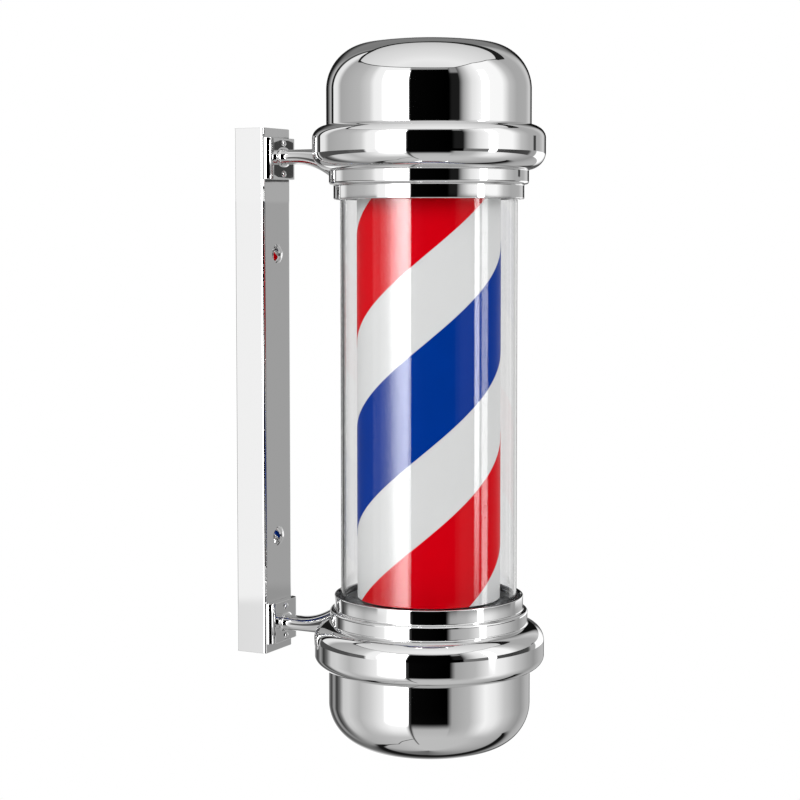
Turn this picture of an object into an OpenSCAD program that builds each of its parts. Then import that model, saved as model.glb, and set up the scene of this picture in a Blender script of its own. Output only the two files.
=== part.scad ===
// Wall-hung barber pole: a striped drum turns inside a clear cylinder, between two chromed ends
// that hang from a pressed steel wall channel on two cast arms.
// +Z is up, the wall is the plane Y = 0 and the pole stands out along -Y.
// The origin is the centre of the four wall holes, in the plane of the wall.

/* [Pole] */
// Visible height of the clear cylinder between the two end rings
view_h = 392; // [300:1:700]
// Height of the pole's middle over the centre of the wall holes
mid_z = 4.5; // [-20:0.5:20]
// Distance from the front of the wall channel to the pole's axis
reach = 173; // [150:1:230]

/* [End rings] */
// Diameter of the narrow collar ring next to the clear cylinder
collar_d = 188; // [184:0.5:192]
// Height of the narrow collar ring
collar_h = 14.5; // [12:0.5:24]
// Diameter of the second collar ring
step_d = 197; // [193:0.5:203]
// Height of the second collar ring
step_h = 14; // [10:0.5:24]
// Diameter of the round bead, the widest part of the pole
bead_d = 230; // [222:1:250]
// Height of the sweep from the second collar ring out to the bead
sweep_h = 17.5; // [14:0.5:22]
// Height of the straight band round the bead
band_h = 14; // [8:0.5:30]
// Height of the shoulder from the bead in to the dome
shoulder_h = 13; // [10:0.5:18]
// Wall thickness of the end rings
ring_wall = 3; // [2:0.25:4]
// Height of the spigot that holds the dome
spigot_h = 11; // [8:0.5:20]

/* [Domes] */
// Outside diameter of the domes
dome_d = 202; // [198:0.5:206]
// Height of a dome over the bead
dome_h = 84; // [82:1:110]
// Height of the dome's straight side
dome_side = 34.5; // [16:0.5:36]
// Radius of the dome's shoulder
dome_knuckle = 45.5; // [35:0.5:48]
// Wall thickness of the domes
dome_wall = 2.5; // [1.5:0.1:3]

/* [Clear cylinder] */
// Outside diameter of the clear cylinder
glass_d = 175; // [172:0.5:177]
// Wall thickness of the clear cylinder
glass_wall = 3; // [2:0.25:4]

/* [Drum] */
// Outside diameter of the drum
drum_d = 142; // [120:0.5:146]
// Wall thickness of the drum
drum_wall = 1.5; // [1:0.1:3]
// Height that a stripe climbs in one turn
stripe_pitch = 378; // [300:2:520]
// Height of a coloured stripe
stripe_h = 104.5; // [60:0.5:140]
// Thickness of the stripe film
film_t = 0.2; // [0.1:0.05:0.4]
// Direction, seen from above, in which the blue stripe crosses the drum's middle
stripe_turn = -162; // [-180:1:180]

/* [Wall channel] */
// Width of the channel
channel_w = 54; // [50:1:70]
// Depth of the channel from the wall to its front
channel_d = 34; // [28:1:50]
// Distance from the middle of each arm's foot to the end of the channel
channel_end = 31; // [28:0.5:60]
// Thickness of the channel's sheet steel
sheet_t = 2; // [1:0.25:2.5]
// Outside radius of the channel's two long front edges
channel_edge = 3; // [2.5:0.25:5]
// Half the distance between the two dome-head screws
cover_screw_z = 146.5; // [120:0.5:180]
// Diameter of the dome-head screws
cover_head_d = 20; // [14:0.5:24]

/* [Wall plate] */
// Width of the steel plate that is screwed to the wall
plate_w = 46; // [40:0.5:49]
// Distance from each end of the wall plate to the end of the channel
plate_end = 40; // [36:0.5:60]
// Thickness of the wall plate
plate_t = 3; // [2:0.25:5]
// Sideways distance between the wall holes
wall_hole_x = 26; // [20:0.5:30]
// Upright distance between the wall holes
wall_hole_z = 200; // [120:1:240]
// Diameter of the wall holes
wall_hole_d = 6.6; // [4:0.1:8]

/* [Arms] */
// Distance from the rim of an end ring to the middle of the arm's foot
arm_h = 43; // [40:0.5:46]
// Height of the arm's foot
foot_h = 42; // [42:0.5:50]
// Thickness of the arm's foot
foot_t = 8; // [6:0.5:10]
// Radius of the foot's two upright edges
foot_edge = 7.5; // [3:0.5:9]
// Half the distance between the two screws in a foot
foot_screw_z = 15.6; // [15.2:0.1:17]
// Half width of the arm's neck
neck_half = 11; // [9:0.5:16]
// Half width of the arm where it meets the second collar ring
flare_half = 24; // [20:0.5:32]
// Height of the arm's outer edge over the middle of its foot
arm_out = 9; // [8:0.5:10]
// Depth of the neck's inner edge under the middle of its foot
arm_in = 6; // [5:0.5:6.5]
// Depth that the inner edge falls further where it meets the second collar ring
arm_fall = 19; // [14:0.5:20]

/* [Motor and lamp] */
// Diameter of the gear motor
motor_d = 50; // [40:1:60]
// Height of the gear motor
motor_h = 22; // [18:1:32]
// Diameter of the motor's output shaft
shaft_d = 7; // [5:0.5:10]
// Diameter of the lamp holder
holder_d = 39; // [34:0.5:44]
// Diameter of the lamp's body
lamp_d = 32; // [24:1:38]
// Length of the lamp's body
lamp_h = 96; // [60:1:180]
// Outside diameter of the wiring
lead_d = 4.5; // [3:0.5:5]

/* [Hidden] */
$fn = 96;
arc_steps = 12;        // straight steps in a quarter of a rounded outline
bare_face = 0.02;      // side clearance of a screw in its own thread
slip = 0.1;            // side clearance of a part in its seat
hole_slack = 0.2;      // extra radius of a clearance hole
over = 1;              // how far a cutting body runs past the surface it cuts

chrome = [0.78, 0.79, 0.81];
steel = [0.62, 0.63, 0.65];
black = [0.06, 0.06, 0.07];
white_plastic = [0.93, 0.93, 0.92];
brass = [0.78, 0.62, 0.30];

// End rings, all heights measured from the rim at the clear cylinder
collar_r = collar_d / 2;
step_r = step_d / 2;
bead_r = bead_d / 2;
dome_r = dome_d / 2;
rim_wall = 2.5;                                   // thickness of the rim round the glass seal
rim_round = 1.2;                                  // rounding of the rim
rim_lip = rim_wall - rim_round - 0.3;             // chamfer inside the rim
step_w = step_r - collar_r;                       // width of the step between the collars
step_round = 0.62 * step_w;                       // rounding of the second collar ring
step_hollow = 0.3 * step_w;                       // hollow between the collars and under the sweep
sweep_under = 3;                                  // how far the sweep starts inside the second ring
shoulder_w = 18;                                  // half width of the shoulder's ellipse
step_z = collar_h;
bead_z = collar_h + step_h;
band_z = bead_z + sweep_h;
shoulder_z = band_z + band_h;
seat_z = shoulder_z + shoulder_h;
pocket_r = collar_r - rim_wall;                   // inside of the rim
plate_top = 4.5;                                  // depth of the end plate under the rim
end_plate_t = 2;
ledge_z = plate_top + end_plate_t;
ledge_r = pocket_r - 3.5;                         // inside of the ledge that carries the end plate
sweep_a = bead_r - step_r + sweep_under;
shoulder_c = bead_r - shoulder_w;
shoulder_end = acos((dome_r - shoulder_c) / shoulder_w);
shoulder_b = shoulder_h / sin(shoulder_end);
spigot_r = dome_r - dome_wall - hole_slack;

// Domes
apex_z = seat_z + dome_h;
knuckle_r = dome_knuckle;
knuckle_x = dome_r - knuckle_r;
knuckle_z = seat_z + dome_side;
crown_rise = apex_z - knuckle_z;
crown_r = (knuckle_x * knuckle_x + crown_rise * crown_rise - knuckle_r * knuckle_r)
    / (2 * (crown_rise - knuckle_r));
crown_z = apex_z - crown_r;
crown_turn = atan2(knuckle_z - crown_z, knuckle_x);
land_r = 36;                                      // flat land under the lower dome for the switch
land_z = crown_z + sqrt(crown_r * crown_r - land_r * land_r);
dome_screw_z = seat_z + spigot_h / 2 + 0.5;
dome_screw_d = 4;
small_head_r = 3.8;
small_head_h = 2.4;

// Clear cylinder and seals
glass_r = glass_d / 2;
glass_in = glass_r - glass_wall;
seal_t = 1.5;                                     // thickness of the seal under the glass
glass_foot = plate_top - seal_t;                  // how far the glass runs into an end ring
seal_in = glass_in - 0.4;
seal_out = pocket_r - 1.4;
seal_lip = 2;                                     // height of the seal's lip round the glass

// End plates
end_plate_r = pocket_r - slip * 2;
vent_ring = (drum_d / 2 + glass_in) / 2;          // ring of holes between drum and clear cylinder
vent_d = 11;
vent_turn = -154;                                 // direction of the first vent hole
plate_screw_d = 4;
boss_r = 5;
web_t = 8;                                        // width of the web from a boss to the ring's wall
boss_h = 14;
boss_set = 0.2;                                   // set-back of the bosses from the plate's ledge
plate_screw_l = 9;                                // length of a plate screw in its boss
post_end = 8;                                     // solid end of a threaded post at the plate
inner_edge = 0.5;                                 // least rounding inside the channel's corners
plate_head_r = 3.4;
plate_head_h = 2.2;

// Drum
drum_r = drum_d / 2;
drum_in = drum_r - drum_wall;
drum_foot = 2.5;                                  // how far the drum runs into an end ring
half_view = view_h / 2;
drum_half = half_view + drum_foot;
film_in = (drum_r + 0.02) / cos(180 / 96);        // flats of the film stay outside the drum
film_out = film_in + film_t;
disc_r = drum_in - slip;
disc_t = 3;
disc_z = 10;                                      // height of the bottom disc over the lower rim
disc_vents = 42;                                  // radius of the circle of openings in the disc
disc_vent_r = 13;
top_ring_t = 6;
top_ring_w = 5;                                   // width of the ring's rim
spoke_w = 8;
spoke_set = 1;                                    // set-back of a spoke from the ring's two faces
guide_wall = 4;                                   // wall of the ring's bearing round the guide collar
top_ring_z = 6;                                   // depth of the top ring under the upper rim
guide_r = holder_d / 2 + 3;
guide_l = ledge_z + top_ring_z + top_ring_t + 3;   // length of the guide collar
guide_run = 0.08;                                 // radial running clearance on the guide collar

// Motor, hub and washer, heights over the lower end plate's upper face are negative cap heights
shaft_r = shaft_d / 2;
shaft_run = 0.05;                                 // radial running clearance of the shaft
motor_r = motor_d / 2;
motor_boss_r = shaft_r + 4.5;
boss_proud = 1.5;                                 // height of the motor's boss over the plate
motor_boss_h = end_plate_t + boss_proud;
washer_t = 1;
washer_r = motor_boss_r;
end_play = 0.3;                                   // play of the drum over the thrust washer
hub_r = 9;
hub_flange_r = 20;
hub_flange_t = 3;
hub_boss = 4;                                     // length of the hub above the disc
hub_screw_ring = 15;
hub_screw_r = 1.5;
shaft_up = 13;                                    // length of shaft inside the hub
shaft_down = 9;                                   // length of shaft inside the motor
case_step = 0.5;                                  // step between gear case and motor case
ear_x = motor_r + 5;
ear_r = 5.5;
ear_t = 2;
screw_tail = 1.5;                                 // length of a screw past its nut
motor_screw_d = 4;
hub_z = plate_top - boss_proud - washer_t - end_play;    // cap height of the hub's lower face
set_screw_z = hub_z - 5;
motor_split = ledge_z + motor_h * 0.4;            // seam between gear case and motor case

// Lamp and holder in the upper end
holder_r = holder_d / 2;
holder_top = ledge_z + 14;
holder_low = -34;
holder_flange_r = 30;
holder_flange_t = 3;
holder_screw_x = 25;
lamp_cap_r = 13.3;
lamp_cap_h = 24;
lamp_cone_h = 22;
lamp_end_h = 8;

// Terminal block behind the motor
block_y = 52;
block_x = 32;
block_d = 18;
block_h = 15;
block_screw_x = 11;
block_screw_d = 3;

// Wiring
lead_r = lead_d / 2;
lead_x = 13;                                      // side offset of the wiring in the channel
lead_bore_r = lead_r + 1;
bend_r = 6;
small_lead_r = 1.8;                               // radius of the short leads at the lower end

// Arms and the lengths that follow from their places
arm_z = view_h / 2 + arm_h;
channel_h = 2 * (arm_z + channel_end);
plate_h = channel_h - 2 * plate_end;
foot_front = -(channel_d + foot_t);
pole_y = -(channel_d + reach);
lead_z = arm_z + (arm_out - arm_in) / 2;          // height of the wiring bore over the pole's middle
rise_y = -channel_d / 2;
lead_low_y = pole_y + block_y + 4;
lead_top_y = pole_y + 8;
foot_screw_d = 4;
foot_head_r = 3.6;
foot_head_h = 2.4;
nut_af = 7;
nut_h = 3.2;
arm_fillet = foot_screw_z - foot_head_r - arm_out - 0.2;
arm_power = 2.5;                                  // squareness of the arm's oval section
flare_l = reach - step_r - foot_t;
flare_end = reach - sqrt(step_r * step_r - flare_half * flare_half) + 1;
fall_y = foot_t + 16;                             // where the inner edge starts to fall
fall_l = reach - step_r - fall_y;
pad_gap = 0.1;                                    // gap between an arm and the end ring
ring_screw_x = 11;
ring_screw_d = 4.8;
ring_screw_l = 20;
ring_screw_z = arm_z + 1;
ring_head_r = 4;
ring_head_h = 3;
ring_boss_r = 6.5;
ring_boss_y = bead_r - 11;                        // distance of the bosses' flat seats from the pole's axis
ring_head_y = pole_y + ring_boss_y;
ring_tip_y = ring_head_y + ring_screw_l;

// Wall plate and dome-head screws
cover_thread_d = 6;
standoff_r = 7;
cover_head_h = 4.2;
cover_screw_l = 16;

// Rocker switch and cable gland under the lower dome
switch_y = -13;                                   // place of the switch in front of the pole's axis
bezel_x = 29;
bezel_y = 32;
bezel_t = 2;
switch_x = 26;
switch_l = 29;
switch_depth = 16;
rocker_w = 9.6;
rocker_l = 24.6;
rocker_x = 6.2;                                   // side offset of each rocker
well_gap = 0.3;                                   // side gap of a rocker in its well
well_end = 1;                                     // gap at the ends of a rocker, for its tilt
well_depth = 9;
pivot_depth = 2;
pivot_r = 1.2;
pivot_run = 0.05;
pin_l = 0.8;                                      // length of a pivot pin beside its rocker
rocker_in = 5;                                    // depth of the rocker inside the land
rocker_end = 3.2;                                 // height of the rocker's ends over the land
rocker_mid = 1.8;                                 // height of the rocker's middle over the land
rocker_off = 8;                                   // tilt of a rocker in its off position
gland_y = 22;
gland_r = 6;
gland_bore_r = 3.5;
gland_hex_r = 8.5;
gland_hex_h = 3;
gland_nut_r = 7.5;
gland_nut_h = 5.5;
gland_tail = 12;
locknut_h = 4;

// Points of an elliptic arc, for outlines
function arc(cx, cy, a, b, t0, t1, n = arc_steps) =
    [for (i = [0:n]) let (t = t0 + (t1 - t0) * i / n) [cx + a * cos(t), cy + b * sin(t)]];
function turned_back(p) = [for (i = [len(p) - 1:-1:0]) p[i]];

// Where the sweep is at radius r, as its arc's angle, and how steep it is at an angle t
function sweep_at(r, g) = -acos((r - step_r + sweep_under) / (sweep_a + g));
function sweep_tilt(t) = atan2(sweep_h * cos(t), -sweep_a * sin(t));

// Outline of the end ring's outer surface, from the rim to the dome's seat, grown by g
function ring_outer(g = 0) = let (
    hollow = step_hollow - g,
    tilt = sweep_tilt(sweep_at(step_r + step_hollow, g)),
    sweep_t = sweep_at(step_r + g + hollow * (1 - sin(tilt)), g),
    foot_z = band_z + (sweep_h + g) * sin(sweep_t) - hollow * cos(tilt)
) concat(
    arc(collar_r - rim_round, rim_round, rim_round + g, rim_round + g, -90, 0, 4),
    arc(collar_r + step_hollow, step_z - step_hollow, hollow, hollow, 180, 90, 5),
    arc(step_r - step_round, step_z + step_round, step_round + g, step_round + g, -90, 0, 5),
    arc(step_r + step_hollow, foot_z, hollow, hollow, 180, 100 + tilt, 5),
    arc(step_r - sweep_under, band_z, sweep_a + g, sweep_h + g, sweep_t, 0),
    arc(shoulder_c, shoulder_z, shoulder_w + g, shoulder_b + g, 0, shoulder_end)
);

// The cap frame: h = 0 at the rim and rises away from the pole's middle
module at_upper() translate([0, pole_y, mid_z + half_view]) children();
module at_lower() translate([0, pole_y, mid_z - half_view]) mirror([0, 0, 1]) children();
module at_pole() translate([0, pole_y, mid_z]) children();
// The arm frame: z = 0 at the middle of the foot
module at_upper_arm() translate([0, 0, mid_z + arm_z]) children();
module at_lower_arm() translate([0, 0, mid_z - arm_z]) mirror([0, 0, 1]) children();
// A cylinder along Y from y0 to y1
module rod_y(r, y0, y1) translate([0, max(y0, y1), 0]) rotate([90, 0, 0]) cylinder(r = r, h = abs(y1 - y0));

// A screw with a domed head; the shank points along -Z and the head stands on z = 0
module dome_screw(head_r, head_h, shank_r, shank_l) {
    ball_r = (head_r * head_r + head_h * head_h) / (2 * head_h);
    rotate_extrude() polygon(concat(
        [[0, -shank_l], [shank_r, -shank_l], [shank_r, 0]],
        [for (i = [0:arc_steps])
            let (t = asin(head_r / ball_r) * (1 - i / arc_steps))
            [ball_r * sin(t), head_h - ball_r + ball_r * cos(t)]]
    ));
}

// Steel plate on the wall, with four wall holes and two holes for the standoffs
module wall_plate() {
    color(steel) difference() {
        translate([-plate_w / 2, -plate_t, -plate_h / 2]) cube([plate_w, plate_t, plate_h]);
        for (x = [-1, 1], z = [-1, 1]) translate([x * wall_hole_x / 2, 0, z * wall_hole_z / 2])
            rod_y(wall_hole_d / 2, over, -plate_t - over);
    }
}

// Threaded posts that the dome-head screws run into
module wall_standoffs() {
    color(steel) for (z = [-1, 1]) translate([0, 0, z * cover_screw_z]) difference() {
        rod_y(standoff_r, -plate_t, -channel_d + sheet_t);
        rod_y(cover_thread_d / 2 + bare_face, -plate_t - post_end, -channel_d);
    }
}

// Outline of the channel seen from above, with its two front edges rounded
module channel_outline(inset) {
    w = channel_w / 2 - inset;
    r = max(channel_edge - inset, inner_edge);
    y = -channel_d + inset;
    polygon(concat(
        [[w, 0], [-w, 0]],
        arc(-w + r, y + r, r, r, 180, 270, 6),
        arc(w - r, y + r, r, r, 270, 360, 6)
    ));
}

// Pressed steel channel, open at the back and closed at both ends
module wall_channel() {
    color(chrome) translate([0, 0, mid_z]) difference() {
        translate([0, 0, -channel_h / 2]) linear_extrude(channel_h) channel_outline(0);
        translate([0, over, -channel_h / 2 + sheet_t]) linear_extrude(channel_h - 2 * sheet_t)
            translate([0, -over]) channel_outline(sheet_t);
        translate([-channel_w / 2 + sheet_t, -channel_edge, -channel_h / 2 + sheet_t])
            cube([channel_w - 2 * sheet_t, channel_edge + over, channel_h - 2 * sheet_t]);
        for (z = [-1, 1]) translate([0, 0, z * cover_screw_z - mid_z])
            rod_y(cover_thread_d / 2 + hole_slack, -channel_d - over, -channel_d + sheet_t + over);
        for (s = [-1, 1]) {
            for (z = [-1, 1]) translate([0, 0, s * arm_z + z * foot_screw_z])
                rod_y(foot_screw_d / 2 + hole_slack, -channel_d - over, -channel_d + sheet_t + over);
            translate([0, 0, s * lead_z])
                rod_y(lead_bore_r, -channel_d - over, -channel_d + sheet_t + over);
        }
    }
}

// The two dome-head screws in the front of the channel
module cover_screws() {
    color(chrome) for (z = [-1, 1]) translate([0, -channel_d, z * cover_screw_z])
        rotate([90, 0, 0]) dome_screw(cover_head_d / 2, cover_head_h, cover_thread_d / 2, cover_screw_l);
}

// Cast arm: a foot on the channel and an oval neck that flares to fit round the end ring.
// y is measured from the channel's front, z from the middle of the foot.
function flare_at(y) = neck_half + (flare_half - neck_half) * pow((y - foot_t) / flare_l, 2);
function fall_at(y) = y < fall_y ? 0 : arm_fall * min(pow((y - fall_y) / fall_l, 2), 1.02);
// Stations along the arm, as [y, growth]; the growth makes the fillet at the foot
function arm_stations() = concat(
    [[foot_t - over, arm_fillet]],
    [for (i = [0:4]) let (t = 22.5 * i) [foot_t + arm_fillet * (1 - cos(t)), arm_fillet * (1 - sin(t))]],
    [for (i = [1:12]) [foot_t + arm_fillet + (flare_end - foot_t - arm_fillet) * i / 12, 0]]
);
oval_points = 28;
function oval(y, grow) = let (
    high = arm_out + grow,
    low = -arm_in - fall_at(y) - grow,
    half_x = flare_at(y) + grow,
    half_z = (high - low) / 2
) [for (i = [0:oval_points - 1]) let (t = 360 * i / oval_points, c = cos(t), q = sin(t)) [
    half_x * sign(c) * pow(abs(c), 2 / arm_power),
    -y,
    (high + low) / 2 + half_z * sign(q) * pow(abs(q), 2 / arm_power)
]];
module arm_neck() {
    stations = arm_stations();
    n = len(stations);
    m = oval_points;
    polyhedron(
        points = [for (p = stations, q = oval(p[0], p[1])) q],
        faces = concat(
            [[for (j = [0:m - 1]) j]],
            [for (i = [0:n - 2], j = [0:m - 1]) let (k = (j + 1) % m)
                [i * m + j, (i + 1) * m + k, i * m + k]],
            [for (i = [0:n - 2], j = [0:m - 1]) let (k = (j + 1) % m, q = i * m + m)
                [i * m + j, q + j, q + k]],
            [[for (j = [m - 1:-1:0]) (n - 1) * m + j]]
        ),
        convexity = 6
    );
}
module arm() {
    difference() {
        union() {
            translate([0, -channel_d, -foot_h / 2]) linear_extrude(foot_h) polygon(concat(
                [[channel_w / 2, 0], [-channel_w / 2, 0]],
                arc(-channel_w / 2 + foot_edge, -foot_t + foot_edge, foot_edge, foot_edge, 180, 270, 8),
                arc(channel_w / 2 - foot_edge, -foot_t + foot_edge, foot_edge, foot_edge, 270, 360, 8)
            ));
            translate([0, -channel_d, 0]) arm_neck();
        }
        translate([0, pole_y, half_view - arm_z]) rotate_extrude()
            polygon(concat([[0, 0]], ring_outer(pad_gap), [[0, seat_z]]));
        for (z = [-1, 1]) translate([0, 0, z * foot_screw_z])
            rod_y(foot_screw_d / 2 + hole_slack, -channel_d + over, foot_front - over);
        translate([0, 0, lead_z - arm_z]) rod_y(lead_bore_r, -channel_d + over, pole_y);
        for (x = [-1, 1]) translate([x * ring_screw_x, 0, ring_screw_z - arm_z])
            rod_y(ring_screw_d / 2 + bare_face, ring_tip_y + over, pole_y);
    }
}
module upper_arm() color(chrome) at_upper_arm() arm();
module lower_arm() color(chrome) at_lower_arm() arm();

// Four screws that hold the feet of the arms to the channel, and their nuts inside it
module arm_screws() {
    color(chrome) {
        at_upper_arm() foot_screws();
        at_lower_arm() foot_screws();
    }
}
module foot_screws() {
    for (z = [-1, 1]) translate([0, foot_front, z * foot_screw_z]) rotate([90, 0, 0])
        dome_screw(foot_head_r, foot_head_h, foot_screw_d / 2, foot_t + sheet_t + nut_h + screw_tail);
}
module arm_nuts() {
    color(steel) {
        at_upper_arm() foot_nuts();
        at_lower_arm() foot_nuts();
    }
}
module foot_nuts() {
    for (z = [-1, 1]) translate([0, -channel_d + sheet_t, z * foot_screw_z])
        rotate([-90, 0, 0]) difference() {
            cylinder(r = nut_af / sqrt(3), h = nut_h, $fn = 6);
            translate([0, 0, -over]) cylinder(r = foot_screw_d / 2 + bare_face, h = nut_h + 2 * over);
        }
}

// Screws from inside the end rings into the arms
module ring_screws() {
    color(steel) {
        translate([0, 0, mid_z + ring_screw_z]) ring_screw_pair();
        translate([0, 0, mid_z - ring_screw_z]) ring_screw_pair();
    }
}
module ring_screw_pair() {
    for (x = [-1, 1]) translate([x * ring_screw_x, 0, 0]) {
        rod_y(ring_head_r, ring_head_y - ring_head_h, ring_head_y);
        rod_y(ring_screw_d / 2, ring_head_y, ring_tip_y);
    }
}

// Cast end ring: rim, two collar rings, bead and the spigot for the dome
module end_ring() {
    difference() {
        union() {
            rotate_extrude() polygon(concat(
                ring_outer(),
                [[spigot_r, seat_z], [spigot_r, seat_z + spigot_h]],
                [[spigot_r - ring_wall, seat_z + spigot_h],
                 [spigot_r - ring_wall, shoulder_z + shoulder_b - ring_wall]],
                turned_back(arc(
                    shoulder_c, shoulder_z, shoulder_w - ring_wall, shoulder_b - ring_wall, 0, 90)),
                turned_back(arc(
                    step_r - sweep_under, band_z, sweep_a - ring_wall, sweep_h - ring_wall, -90, 0)),
                [[ledge_r, band_z - sweep_h + ring_wall], [ledge_r, ledge_z], [pocket_r, ledge_z]],
                [[pocket_r, rim_wall - rim_round], [pocket_r + rim_lip, 0]]
            ));
            for (a = [0:3]) rotate([0, 0, vent_turn + 45 + 90 * a]) translate([0, 0, ledge_z + boss_set]) {
                translate([vent_ring, 0, 0]) cylinder(r = boss_r, h = boss_h);
                translate([vent_ring, -web_t / 2, 0]) cube([ledge_r - vent_ring + 1, web_t, boss_h]);
            }
            intersection() {
                for (x = [-1, 1]) translate([x * ring_screw_x, 0, ring_screw_z - half_view])
                    rod_y(ring_boss_r, ring_boss_y, bead_r);
                rotate_extrude() polygon(concat([[0, 0]], ring_outer(-over), [[0, shoulder_z]]));
            }
        }
        for (a = [0:3]) rotate([0, 0, vent_turn + 45 + 90 * a])
            translate([vent_ring, 0, ledge_z - over])
                cylinder(r = plate_screw_d / 2 + bare_face, h = boss_h + over - 2);
        for (x = [-1, 1]) translate([x * ring_screw_x, 0, ring_screw_z - half_view])
            rod_y(ring_screw_d / 2 + hole_slack, ring_boss_y - over, bead_r + over);
        translate([0, 0, lead_z - half_view]) rod_y(lead_bore_r, ring_boss_y - over, bead_r + over);
        translate([0, 0, dome_screw_z])
            rod_y(dome_screw_d / 2 + bare_face, spigot_r - 2 * ring_wall, spigot_r + over);
    }
}
module upper_end_ring() color(chrome) at_upper() end_ring();
module lower_end_ring() color(chrome) at_lower() end_ring();

// Steel disc in each end ring; it carries the clear cylinder and the works
module end_plate_blank(centre_r) {
    difference() {
        translate([0, 0, plate_top]) cylinder(r = end_plate_r, h = end_plate_t);
        translate([0, 0, plate_top - over]) cylinder(r = centre_r, h = end_plate_t + 2 * over);
        for (a = [0:3]) rotate([0, 0, vent_turn + 90 * a]) translate([vent_ring, 0, plate_top - over])
            cylinder(d = vent_d, h = end_plate_t + 2 * over);
        for (a = [0:3]) rotate([0, 0, vent_turn + 45 + 90 * a]) translate([vent_ring, 0, plate_top - over])
            cylinder(r = plate_screw_d / 2 + hole_slack, h = end_plate_t + 2 * over);
    }
}
module upper_end_plate() {
    color(steel) at_upper() difference() {
        end_plate_blank(guide_r + slip);
        for (x = [-1, 1]) translate([x * holder_screw_x, 0, plate_top - over])
            cylinder(r = plate_screw_d / 2 + bare_face, h = end_plate_t + 2 * over);
    }
}
module lower_end_plate() {
    color(steel) at_lower() difference() {
        end_plate_blank(motor_boss_r + slip);
        for (x = [-1, 1]) translate([x * ear_x, 0, plate_top - over])
            cylinder(r = motor_screw_d / 2 + hole_slack, h = end_plate_t + 2 * over);
        for (x = [-1, 1]) translate([x * block_screw_x, block_y, plate_top - over])
            cylinder(r = block_screw_d / 2 + bare_face, h = end_plate_t + 2 * over);
    }
}
module plate_screws() {
    color(steel) {
        at_upper() plate_screw_set();
        at_lower() plate_screw_set();
    }
}
module plate_screw_set() {
    for (a = [0:3]) rotate([0, 0, vent_turn + 45 + 90 * a]) translate([vent_ring, 0, plate_top])
        rotate([180, 0, 0])
            dome_screw(plate_head_r, plate_head_h, plate_screw_d / 2, end_plate_t + plate_screw_l);
}

// Outline of a dome, from its foot to the axis, set in by an inset; a land flattens its middle
function dome_line(inset, land) = concat(
    [[dome_r - inset, seat_z]],
    arc(knuckle_x, knuckle_z, knuckle_r - inset, knuckle_r - inset, 0, crown_turn, 2 * arc_steps),
    arc(0, crown_z, crown_r - inset, crown_r - inset, crown_turn, acos(land / crown_r), arc_steps)
);
module dome_shell(land) {
    rise = crown_z + crown_r * sin(acos(land / crown_r));
    difference() {
        rotate_extrude() polygon(concat(
            dome_line(0, land), land > 0 ? [[0, rise]] : [],
            land > 0 ? [[0, rise - dome_wall]] : [], turned_back(dome_line(dome_wall, land))
        ));
        translate([0, 0, dome_screw_z])
            rod_y(dome_screw_d / 2 + hole_slack, spigot_r - ring_wall, dome_r + over);
    }
}
module upper_dome() color(chrome) at_upper() dome_shell(0);
module lower_dome() {
    color(chrome) at_lower() difference() {
        dome_shell(land_r);
        translate([-switch_x / 2 - slip, switch_y - switch_l / 2 - slip, land_z - 3 * dome_wall])
            cube([switch_x + 2 * slip, switch_l + 2 * slip, 6 * dome_wall]);
        translate([0, gland_y, land_z - 3 * dome_wall]) cylinder(r = gland_r + slip, h = 6 * dome_wall);
    }
}
// One screw at the back of each dome holds it on its spigot
module dome_screws() {
    color(chrome) {
        at_upper() dome_screw_set();
        at_lower() dome_screw_set();
    }
}
module dome_screw_set() {
    translate([0, dome_r, dome_screw_z]) rotate([-90, 0, 0])
        dome_screw(small_head_r, small_head_h, dome_screw_d / 2, dome_wall + ring_wall + 2);
}

// Clear cylinder and the two rubber seals that it stands in
module glass_tube() {
    color([0.85, 0.92, 0.95, 0.3]) at_pole() difference() {
        translate([0, 0, -half_view - glass_foot]) cylinder(r = glass_r, h = view_h + 2 * glass_foot);
        translate([0, 0, -half_view - glass_foot - over])
            cylinder(r = glass_in, h = view_h + 2 * glass_foot + 2 * over);
    }
}
module glass_seal() {
    rotate_extrude() polygon([
        [seal_in, glass_foot], [glass_r + slip, glass_foot], [glass_r + slip, glass_foot - seal_lip],
        [seal_out, glass_foot - seal_lip], [seal_out, plate_top], [seal_in, plate_top]
    ]);
}
module upper_glass_seal() color(black) at_upper() glass_seal();
module lower_glass_seal() color(black) at_lower() glass_seal();

// Drum: a white tube with a red and a blue stripe wound on it
module drum_tube() {
    color(white_plastic) at_pole() difference() {
        translate([0, 0, -drum_half]) cylinder(r = drum_r, h = 2 * drum_half);
        translate([0, 0, -drum_half - over]) cylinder(r = drum_in, h = 2 * drum_half + 2 * over);
    }
}
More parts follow.
